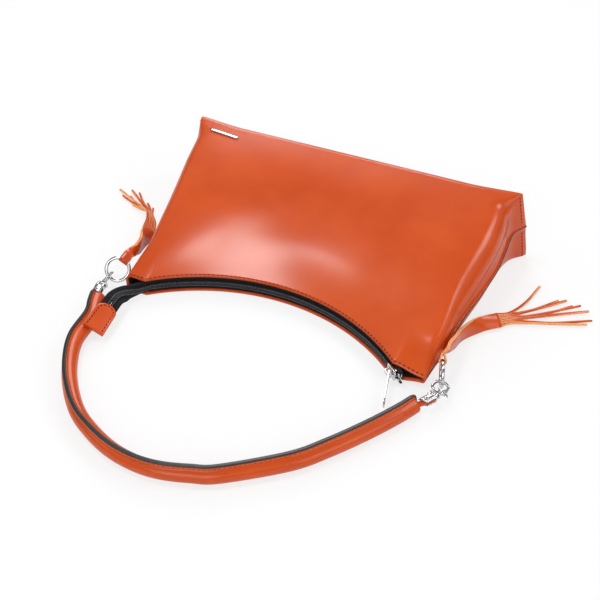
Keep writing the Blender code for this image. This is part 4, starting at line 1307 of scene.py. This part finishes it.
@dataclass
class RingAndTassel:
    """A ring at one end of the mouth, and the tassel whose strap is folded round it."""

    side: Side
    centre: Vector
    normal: Vector
    loop: Vector
    stem: list[tuple[float, float, float]]
    tips: list[tuple[float, float]]
    bundle: list[tuple[float, float, float]]
    ring_r: float = 9.5
    wire: float = 1.5
    gap: float = 0.3
    strap: float = 1.3
    loop_width: float = 8.0
    strap_width: float = 12.0
    strand_half: float = 1.0
    strand_thick: float = 0.9

    def __post_init__(self) -> None:
        """Make the directions unit, and the loop's square to the ring's axis."""
        self.normal = self.normal.normalized()
        self.loop = (self.loop - self.normal * self.loop.dot(self.normal)).normalized()

    def build_ring(self, workshop: Workshop, finishes: Finishes) -> None:
        """Spin the ring's wire round its centre."""
        bm = bmesh.new()
        made = bmesh.ops.create_circle(bm, segments=20, radius=self.wire)
        v = self.normal.cross(self.loop)
        turn = Matrix((self.loop, self.normal, v)).transposed().to_4x4()
        turn.translation = self.centre + self.loop * self.ring_r
        bmesh.ops.transform(bm, matrix=turn, verts=made["verts"])
        bmesh.ops.spin(
            bm,
            geom=bm.edges[:],
            cent=self.centre,
            axis=self.normal,
            angle=2 * math.pi,
            steps=72,
            use_merge=True,
        )
        bmesh.ops.recalc_face_normals(bm, faces=bm.faces)
        name = "ring_" + self.side.value
        workshop.piece(name + "_wire", bm, [finishes.metal], name, "metal", [name])

    def strand(self, bm: bmesh.types.BMesh, path: list[Vector], half: float, thick: float) -> None:
        """Cut one flat strand with raw edges along a path.

        Args:
            bm: The bmesh that gets the strand.
            path: Its middle line.
            half: Half of its width.
            thick: Half of its thickness.
        """
        outline = rounded_bar(half, thick, min(0.25, thick * 0.5), 1)
        rings = []
        for i, (point, way) in enumerate(zip(path, ways(path))):
            t = i / (len(path) - 1)
            across = Z.cross(way).normalized()
            twist = 0.9 * ease(t / 0.5) * math.sin(t * 2.4 + path[-1].x)
            across = (across * math.cos(twist) + way.cross(across) * math.sin(twist)).normalized()
            narrow = 1.0 if t < 0.97 else 0.75
            rings.append(in_plane(point, across * narrow, way.cross(across), outline))
        piece = skin(rings, closed=True, capped=True)
        self.raw_edges(piece, rings)
        join_into(bm, piece)

    def raw_edges(self, bm: bmesh.types.BMesh, rings: list[Ring]) -> None:
        """Give the sides of a strip the colour of cut leather, going by which way each face looks."""
        bm.normal_update()
        middles = [sum(ring, Vector()) / len(ring) for ring in rings]
        for face in bm.faces:
            centre = face.calc_center_median()
            k = min(range(len(rings)), key=lambda i: (middles[i] - centre).length_squared)
            ring = rings[k]
            across = (ring[0] - ring[-1]).normalized()
            if abs(face.normal.dot(across)) > 0.5:
                face.material_index = 1

    def ply_path(self, ply: int, tangent: Vector) -> tuple[list[Vector], list[Vector], list[float]]:
        """One ply of the strap, from behind the ring's wire along the stem.

        Args:
            ply: 1 for the ply on the ring's normal side and -1 for the other.
            tangent: The ring's own direction where the strap hangs.

        Returns:
            The ply's points, its direction across and its half width at each of them.
        """
        at_ring = self.centre + self.loop * self.ring_r
        bow = self.wire + self.gap + self.strap / 2
        places: list[Vector] = []
        for k in range(9):
            a = math.radians(180 - 125 * k / 8)
            places.append(at_ring + self.loop * (bow * math.cos(a)) + self.normal * (ply * bow * math.sin(a)))
        stem = [self.centre + Vector(spot) for spot in self.stem]
        middle = smooth_path([at_ring + self.loop * 6.2] + stem, 48)
        widths, halves = [tangent] * len(places), [self.loop_width / 2] * len(places)
        joined = self.strap * 0.5 - 0.02
        places.append(at_ring + self.loop * 5.6 + self.normal * (ply * (joined + 0.25)))
        widths.append(tangent)
        halves.append(self.loop_width / 2)
        for i, (point, way) in enumerate(zip(middle, ways(middle))):
            level = Z.cross(way).normalized()
            if level.dot(VIEW_AXIS) > 0:
                level = -level
            t = i / (len(middle) - 1) * 8
            upright = Z - way * way.z
            held = tangent.lerp(upright, ease(t / 1.5))
            across = held.lerp(level, 0.6 * ease((t - 3.0) / 5.0)).normalized()
            across = (across - way * way.dot(across)).normalized()
            up = way.cross(across)
            first = ways(middle)[0].cross(tangent)
            sign = ply if first.dot(self.normal) > 0 else -ply
            places.append(point + up * (sign * joined))
            widths.append(across)
            halves.append(lerp(self.loop_width / 2 - 0.1, self.strap_width / 2, ease(t / 3)))
        return places, widths, halves

    def build_tassel(self, workshop: Workshop, finishes: Finishes) -> None:
        """Fold the strap round the ring, bring its two plies together and cut the end into strands."""
        tangent = self.normal.cross(self.loop).normalized()
        bm = bmesh.new()
        for ply in (1, -1):
            places, widths, halves = self.ply_path(ply, tangent)
            rings = []
            for point, way, width, half in zip(places, ways(places), widths, halves):
                across = (width - way * way.dot(width)).normalized()
                outline = rounded_bar(half, self.strap / 2 - 0.03, 0.25, 1)
                rings.append(in_plane(point, across, way.cross(across), outline))
            across_end = widths[-1]
            piece = skin(rings, closed=True, capped=True)
            self.raw_edges(piece, rings)
            join_into(bm, piece)
        end = self.centre + Vector(self.stem[-1])
        end_way = (end - self.centre - Vector(self.stem[-2])).normalized()
        tips = [Vector((self.centre.x + a, self.centre.y + b, 0)) for a, b in self.tips]
        order = sorted(tips, key=lambda p: (p - end).normalized().dot(across_end))
        spread = self.strap_width - 1.6
        bundle = [self.centre + Vector(spot) for spot in self.bundle]
        for i, tip in enumerate(order):
            offset = -spread / 2 + spread * i / (len(order) - 1)
            root = end + across_end * offset - end_way * 2.0
            goal = Vector((tip.x, tip.y, 1.4 + 0.5 * (i % 3)))
            route = [root]
            for k, spot in enumerate(bundle):
                held = spot + across_end * (offset * lerp(0.8, 0.5, k / len(bundle)))
                held.z = max(1.3 + 0.4 * (i % 2), held.z)
                route.append(held)
            middle = route[-1].lerp(goal, 0.5)
            middle += (goal - route[-1]).cross(Z) * (0.03 * math.sin(i * 2.1))
            middle.z = 2.0 + 0.3 * (i % 2)
            line = smooth_path(route + [middle, goal], 34)
            self.strand(bm, line, self.strand_half, self.strand_thick)
        name = "tassel_" + self.side.value
        finish = [finishes.leather, finishes.cut_edge]
        workshop.piece(name + "_leather", bm, finish, Body.BAG.value, "leather", [name])

    def build(self, workshop: Workshop, finishes: Finishes) -> None:
        """Build the ring and its tassel."""
        self.build_ring(workshop, finishes)
        self.build_tassel(workshop, finishes)


@dataclass
class Handle:
    """The rolled leather handle with its stitched fin, its filling and the strips into the clamps."""

    left_end: Vector = field(default_factory=lambda: Vector((-139.9, -117.6, 6.0)))
    right_end: Vector = field(default_factory=lambda: Vector((131.7, -123.1, 6.0)))
    drop: float = 132.6
    roll_r: float = 5.8
    fin: float = 3.2
    fin_thick: float = 2.4
    lean_left: float = 64.0
    lean_right: float = 104.0
    strip_share: float = 0.62
    stations: int = 190

    def route(self) -> list[Vector]:
        """The handle's middle line, as it lies in one long curve."""
        shares = [(0.0147, 0.0778), (0.0358, 0.1789), (0.0494, 0.3781), (0.0880, 0.5468), (0.1408, 0.6949)]
        shares += [(0.2097, 0.8313), (0.2819, 0.9169), (0.3629, 0.9784), (0.4419, 1.0000), (0.5120, 0.9872)]
        shares += [(0.5847, 0.9400), (0.6491, 0.8797), (0.7870, 0.6555), (0.8564, 0.4843), (0.9228, 0.2847)]
        shares += [(0.9718, 0.1149)]
        points = [self.left_end]
        for share, fall in shares:
            points.append(self.left_end.lerp(self.right_end, share) - Y * (fall * self.drop))
        points.append(self.right_end)
        return smooth_path(points, self.stations)

    def lean_at(self, t: float) -> float:
        """The fin's angle above the outward level at a share t along the roll."""
        return math.radians(lerp(self.lean_left, self.lean_right, ease(t + 0.05)))

    def fin_axes(self, way: Vector, t: float) -> tuple[Vector, Vector]:
        """The fin's own directions at a share t along the roll: out of the roll, and across the fin."""
        outward = Z.cross(way).normalized() * -1
        lean = self.lean_at(t)
        up = outward * math.cos(lean) + Z * math.sin(lean)
        return up, Z * math.cos(lean) - outward * math.sin(lean)

    def section(self, point: Vector, way: Vector, t: float) -> Ring:
        """One ring of the roll with its fin."""
        outward = Z.cross(way).normalized() * -1
        lean = self.lean_at(t)
        half = self.fin_thick / 2
        opened = math.asin(half / self.roll_r) + 0.22
        ring: list[tuple[float, float]] = []
        for k in range(33):
            a = opened + (2 * math.pi - 2 * opened) * k / 32
            ring.append((self.roll_r * math.cos(a), self.roll_r * math.sin(a)))
        top = self.roll_r + self.fin
        neck = self.roll_r + 0.5
        ring += [(neck - 0.3, -half - 0.25), (neck + 0.7, -half)]
        ring += [(top - 0.5, -half), (top - 0.05, -half + 0.45)]
        ring += [(top - 0.05, half - 0.45), (top - 0.5, half), (neck + 0.7, half), (neck - 0.3, half + 0.25)]
        c, s = math.cos(lean), math.sin(lean)
        return in_plane(point, outward, Z, [(a * c - b * s, a * s + b * c) for a, b in ring])

    def build_cover(self, workshop: Workshop, finishes: Finishes) -> None:
        """Roll the leather cover, paint the fin's edge and sew the fin."""
        path = self.route()
        travel = ways(path)
        last = len(path) - 1
        rings = []
        for i, (point, way) in enumerate(zip(path, travel)):
            rings.append(self.section(point, way, i / last))
        ends = []
        for end, out in ((0, -1), (last, 1)):
            centre = path[end]
            for size, reach in ((0.93, 0.45), (0.80, 0.75)):
                ends.append([centre + (p - centre) * size + travel[end] * (out * reach) for p in rings[end]])
        rings = [ends[1], ends[0]] + rings + [ends[2], ends[3]]
        bm = skin(rings, closed=True, capped=True)
        nodes = ["handle_cover", "handle_core"]
        cover = workshop.piece("handle_roll", bm, [finishes.leather], Body.HANDLE.value, "leather", nodes)

        paint, sewing = [], bmesh.new()
        rows = {1: ([], []), -1: ([], [])}
        top = self.roll_r + self.fin
        half = self.fin_thick / 2
        for i, (point, way) in enumerate(zip(path, travel)):
            up, side = self.fin_axes(way, i / last)
            outline = rounded_bar(half + 0.35, 0.74, 0.6, 4)
            paint.append(in_plane(point + up * (top - 0.42), side, up, outline))
            for sign, (line, out) in rows.items():
                line.append(point + up * (top - 2.1) + side * (sign * (half + 0.04)))
                out.append(side * sign)
        for end, out in ((0, -1), (last, 1)):
            centre, onward = path[end], travel[end] * out
            up, side = self.fin_axes(travel[end], end / last)
            wraps = []
            for height, reach in ((top - 0.9, 0.75), (top - 2.2, 1.1), (3.4, 1.2), (0.0, 1.2), (-3.2, 1.1)):
                away = (up * max(0.0, height - top + 2.2) + onward).normalized()
                outline = rounded_bar(half + 0.2, 0.5, 0.4, 4)
                wraps.append(in_plane(centre + up * height + onward * reach, side, away, outline))
            paint = wraps[::-1] + paint[1:] if out < 0 else paint[:-1] + wraps
        edge = skin(paint, closed=True, capped=True)
        workshop.piece("handle_edge", edge, [finishes.edge_paint], Body.HANDLE.value, "leather")
        for line, out in rows.values():
            add_stitches(sewing, line[2:-2], out[2:-2], pitch=3.4, length=2.4, thread=0.5)
        workshop.piece("handle_stitching", sewing, [finishes.light_thread], Body.HANDLE.value, "leather")

    def build_strips(self, workshop: Workshop, finishes: Finishes) -> None:
        """Carry each end of the roll into its clamp with a leather strip."""
        for side in Side:
            node = "handle_strip_" + side.value
            bm = bmesh.new()
            bm.from_mesh(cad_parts[node].data)
            bmesh.ops.scale(bm, vec=(1 / MM, 1 / MM, 1 / MM), verts=bm.verts)
            bmesh.ops.remove_doubles(bm, verts=bm.verts, dist=0.002)
            bmesh.ops.dissolve_limit(bm, angle_limit=math.radians(1), verts=bm.verts, edges=bm.edges)
            self.slim(bm)
            name, body = "strip_" + side.value, Body.HANDLE.value
            made = workshop.piece(name, bm, [finishes.leather], body, "leather_trim", [node])
            soft = made.modifiers.new("soft", "BEVEL")
            soft.width = 0.4 * MM
            soft.segments = 3
            soft.limit_method = "ANGLE"

    def slim(self, bm: bmesh.types.BMesh) -> None:
        """Draw a strip in towards its middle line, so that it stands inside its clamp."""
        middle = sum((v.co for v in bm.verts), Vector()) / len(bm.verts)
        far = max((v.co - middle for v in bm.verts), key=lambda reach: reach.length)
        last = [v.co for v in bm.verts if (v.co - middle).dot(far) > far.length_squared * 0.7]
        end = sum(last, Vector()) / len(last)
        way = (end - middle).normalized()
        for v in bm.verts:
            reach = v.co - middle
            v.co = middle + way * reach.dot(way) + (reach - way * reach.dot(way)) * self.strip_share

    def build(self, workshop: Workshop, finishes: Finishes) -> None:
        """Build the handle."""
        self.build_cover(workshop, finishes)
        self.build_strips(workshop, finishes)


@dataclass
class HookFitting:
    """One end of the handle: the clamp with its rivet and pin, the swivel, and the claw with its gate."""

    side: Side

    def build(self, workshop: Workshop, finishes: Finishes) -> None:
        """Polish each metal piece of the fitting."""
        end = self.side.value
        fixed = {"clamp_": 4, "rivet_": 3, "pin_": 3}
        for part, passes in fixed.items():
            workshop.cast_copy(part + end, finishes.metal, Body.HANDLE.value, voxel=0.18, passes=passes)
        workshop.cast_copy("swivel_" + end, finishes.metal, "swivel_" + end, voxel=0.16, passes=4)
        workshop.cast_copy("claw_" + end, finishes.metal, "claw_" + end, voxel=0.2, passes=8)
        workshop.cast_copy("gate_" + end, finishes.metal, "gate_" + end, voxel=0.14, passes=4)


# name, place in metres, side in metres, power in watts
LAMPS = (
    ("back_soft", (-0.57, 1.04, 1.04), 0.7, 9.0),
    ("top_soft", (-0.40, -0.19, 1.44), 0.3, 6.0),
    ("right_soft", (0.78, 0.54, 1.15), 0.45, 4.5),
    ("left_fill", (-1.3, -0.6, 0.9), 0.9, 2.5),
    ("front_fill", (0.2, -1.3, 0.7), 0.9, 6.5),
    ("right_fill", (1.4, -0.5, 0.7), 0.9, 5.0),
)


@dataclass
class Studio:
    """A pale floor, soft lamps and the camera."""

    target: Vector = field(default_factory=lambda: Vector((5.45, -45.5, 0.0)))
    azimuth: float = 25.0
    elevation: float = 40.0
    distance: float = 799.3
    lens: float = 59.1

    def build_camera(self) -> None:
        """Stand the camera where the photograph was taken from."""
        a, e = math.radians(self.azimuth), math.radians(self.elevation)
        away = Vector((math.sin(a) * math.cos(e), -math.cos(a) * math.cos(e), math.sin(e)))
        data = bpy.data.cameras.new("camera")
        data.lens = self.lens
        data.sensor_width = 36.0
        data.sensor_fit = "HORIZONTAL"
        data.clip_start = 0.01
        camera = bpy.data.objects.new("camera", data)
        camera.location = (self.target + away * self.distance) * MM
        camera.rotation_euler = (-away).to_track_quat("-Z", "Y").to_euler()
        bpy.context.scene.collection.objects.link(camera)
        bpy.context.scene.camera = camera

    def build_floor(self) -> None:
        """Lay a white floor that keeps a faint shadow."""
        bm = bmesh.new()
        bmesh.ops.create_grid(bm, x_segments=8, y_segments=8, size=6.0)
        bmesh.ops.translate(bm, vec=(0, 0, -0.0004), verts=bm.verts)
        mesh = bpy.data.meshes.new("floor")
        bm.to_mesh(mesh)
        bm.free()
        floor = bpy.data.objects.new("floor", mesh)
        bpy.context.scene.collection.objects.link(floor)
        made, sheet, shader = new_material("white_floor")
        dial(shader, Base_Color=(0.86, 0.86, 0.86, 1), Roughness=0.7, Specular_IOR_Level=0.1)
        glow = sheet.add("ShaderNodeEmission", Strength=1.0)
        path = sheet.add("ShaderNodeLightPath")
        seen = sheet.add("ShaderNodeMath", operation="MAXIMUM")
        sheet.link(path.outputs["Is Camera Ray"], seen.inputs[0])
        sheet.link(path.outputs["Is Glossy Ray"], seen.inputs[1])
        share = sheet.add("ShaderNodeMath", operation="MULTIPLY")
        share.inputs[1].default_value = 0.74
        sheet.link(seen.outputs[0], share.inputs[0])
        mix = sheet.add("ShaderNodeMixShader")
        sheet.link(share.outputs[0], mix.inputs["Fac"])
        sheet.link(shader.outputs["BSDF"], mix.inputs[1])
        sheet.link(glow.outputs["Emission"], mix.inputs[2])
        out = made.node_tree.nodes["Material Output"]
        sheet.link(mix.outputs["Shader"], out.inputs["Surface"])
        mesh.materials.append(made)

    def lamp(self, name: str, at: tuple[float, float, float], size: float, power: float) -> None:
        """Hang one soft area lamp that looks at the bag.

        Args:
            name: The lamp's name.
            at: Its place in metres.
            size: The length of its side in metres.
            power: Its power in watts.
        """
        data = bpy.data.lights.new(name, "AREA")
        data.shape = "SQUARE"
        data.size = size
        data.energy = power
        made = bpy.data.objects.new(name, data)
        made.location = at
        made.rotation_euler = (-Vector(at)).to_track_quat("-Z", "Y").to_euler()
        bpy.context.scene.collection.objects.link(made)

    def build(self) -> None:
        """Set up the studio."""
        self.build_camera()
        self.build_floor()
        for name, at, size, power in LAMPS:
            self.lamp(name, at, size, power)
        world = bpy.data.worlds.new("studio")
        world.use_nodes = True
        sheet = Sheet(world.node_tree)
        back = world.node_tree.nodes["Background"]
        where = sheet.add("ShaderNodeTexCoord")
        split = sheet.add("ShaderNodeSeparateXYZ")
        sheet.link(where.outputs["Generated"], split.inputs["Vector"])
        levels = [(0.0, 0.12), (0.30, 0.20), (0.50, 0.85), (0.72, 0.85), (0.86, 0.30), (1.0, 0.30)]
        walls = [(place, (level, level, level)) for place, level in levels]
        sheet.link(sheet.ramp(split.outputs["Z"], walls).outputs["Color"], back.inputs["Color"])
        back.inputs["Strength"].default_value = 0.58
        bpy.context.scene.world = world
        bpy.context.scene.view_settings.view_transform = "Standard"


def rings_and_tassels() -> list[RingAndTassel]:
    """Both rings as they fell, each with the tassel that it carries."""
    left = RingAndTassel(
        Side.LEFT,
        centre=Vector((-142.4, -84.5, 10.3)),
        normal=VIEW_AXIS.copy(),
        loop=Vector((0.305, 0.717, 0.62)),
        stem=[(4.8, 24.7, 6.7), (-1.4, 43.2, 1.7), (-6.9, 59.7, -1.3)],
        bundle=[(-14.9, 75.5, -4.3), (-25.6, 89.0, -6.3)],
        tips=[
            (-27.6, 98.5), (-35.6, 102.5), (-46.4, 94.7), (-55.1, 105.0),
            (-51.0, 113.5), (-63.6, 104.5), (-71.2, 111.4), (-60.6, 115.5),
        ],
    )
    right = RingAndTassel(
        Side.RIGHT,
        centre=Vector((140.2, -89.9, 11.3)),
        normal=Vector((0.94, 0.34, 0.0)),
        loop=Vector((-0.272, 0.583, 0.766)),
        stem=[(-2.4, 18.9, 9.2), (-1.4, 31.9, 4.2), (0.0, 49.9, -0.8), (8.3, 68.9, -4.1), (19.8, 81.4, -5.3)],
        bundle=[(27.5, 89.2, -6.3)],
        tips=[
            (37.6, 141.1), (55.8, 129.9), (61.9, 131.8), (67.8, 127.4),
            (73.4, 131.5), (81.0, 126.0), (85.7, 116.5), (82.8, 110.8),
        ],
    )
    return [left, right]


def main() -> None:
    """Build the studio and every piece of the bag, in the order that a maker would lay them out."""
    logging.basicConfig(level=logging.INFO, format="%(message)s")
    Studio().build()
    finishes = Finishes()
    workshop = Workshop()
    BagBody().build(workshop, finishes)
    Zip().build(workshop, finishes)
    for ring in rings_and_tassels():
        ring.build(workshop, finishes)
    Handle().build(workshop, finishes)
    for side in Side:
        HookFitting(side).build(workshop, finishes)


if __name__ == "__main__":
    main()
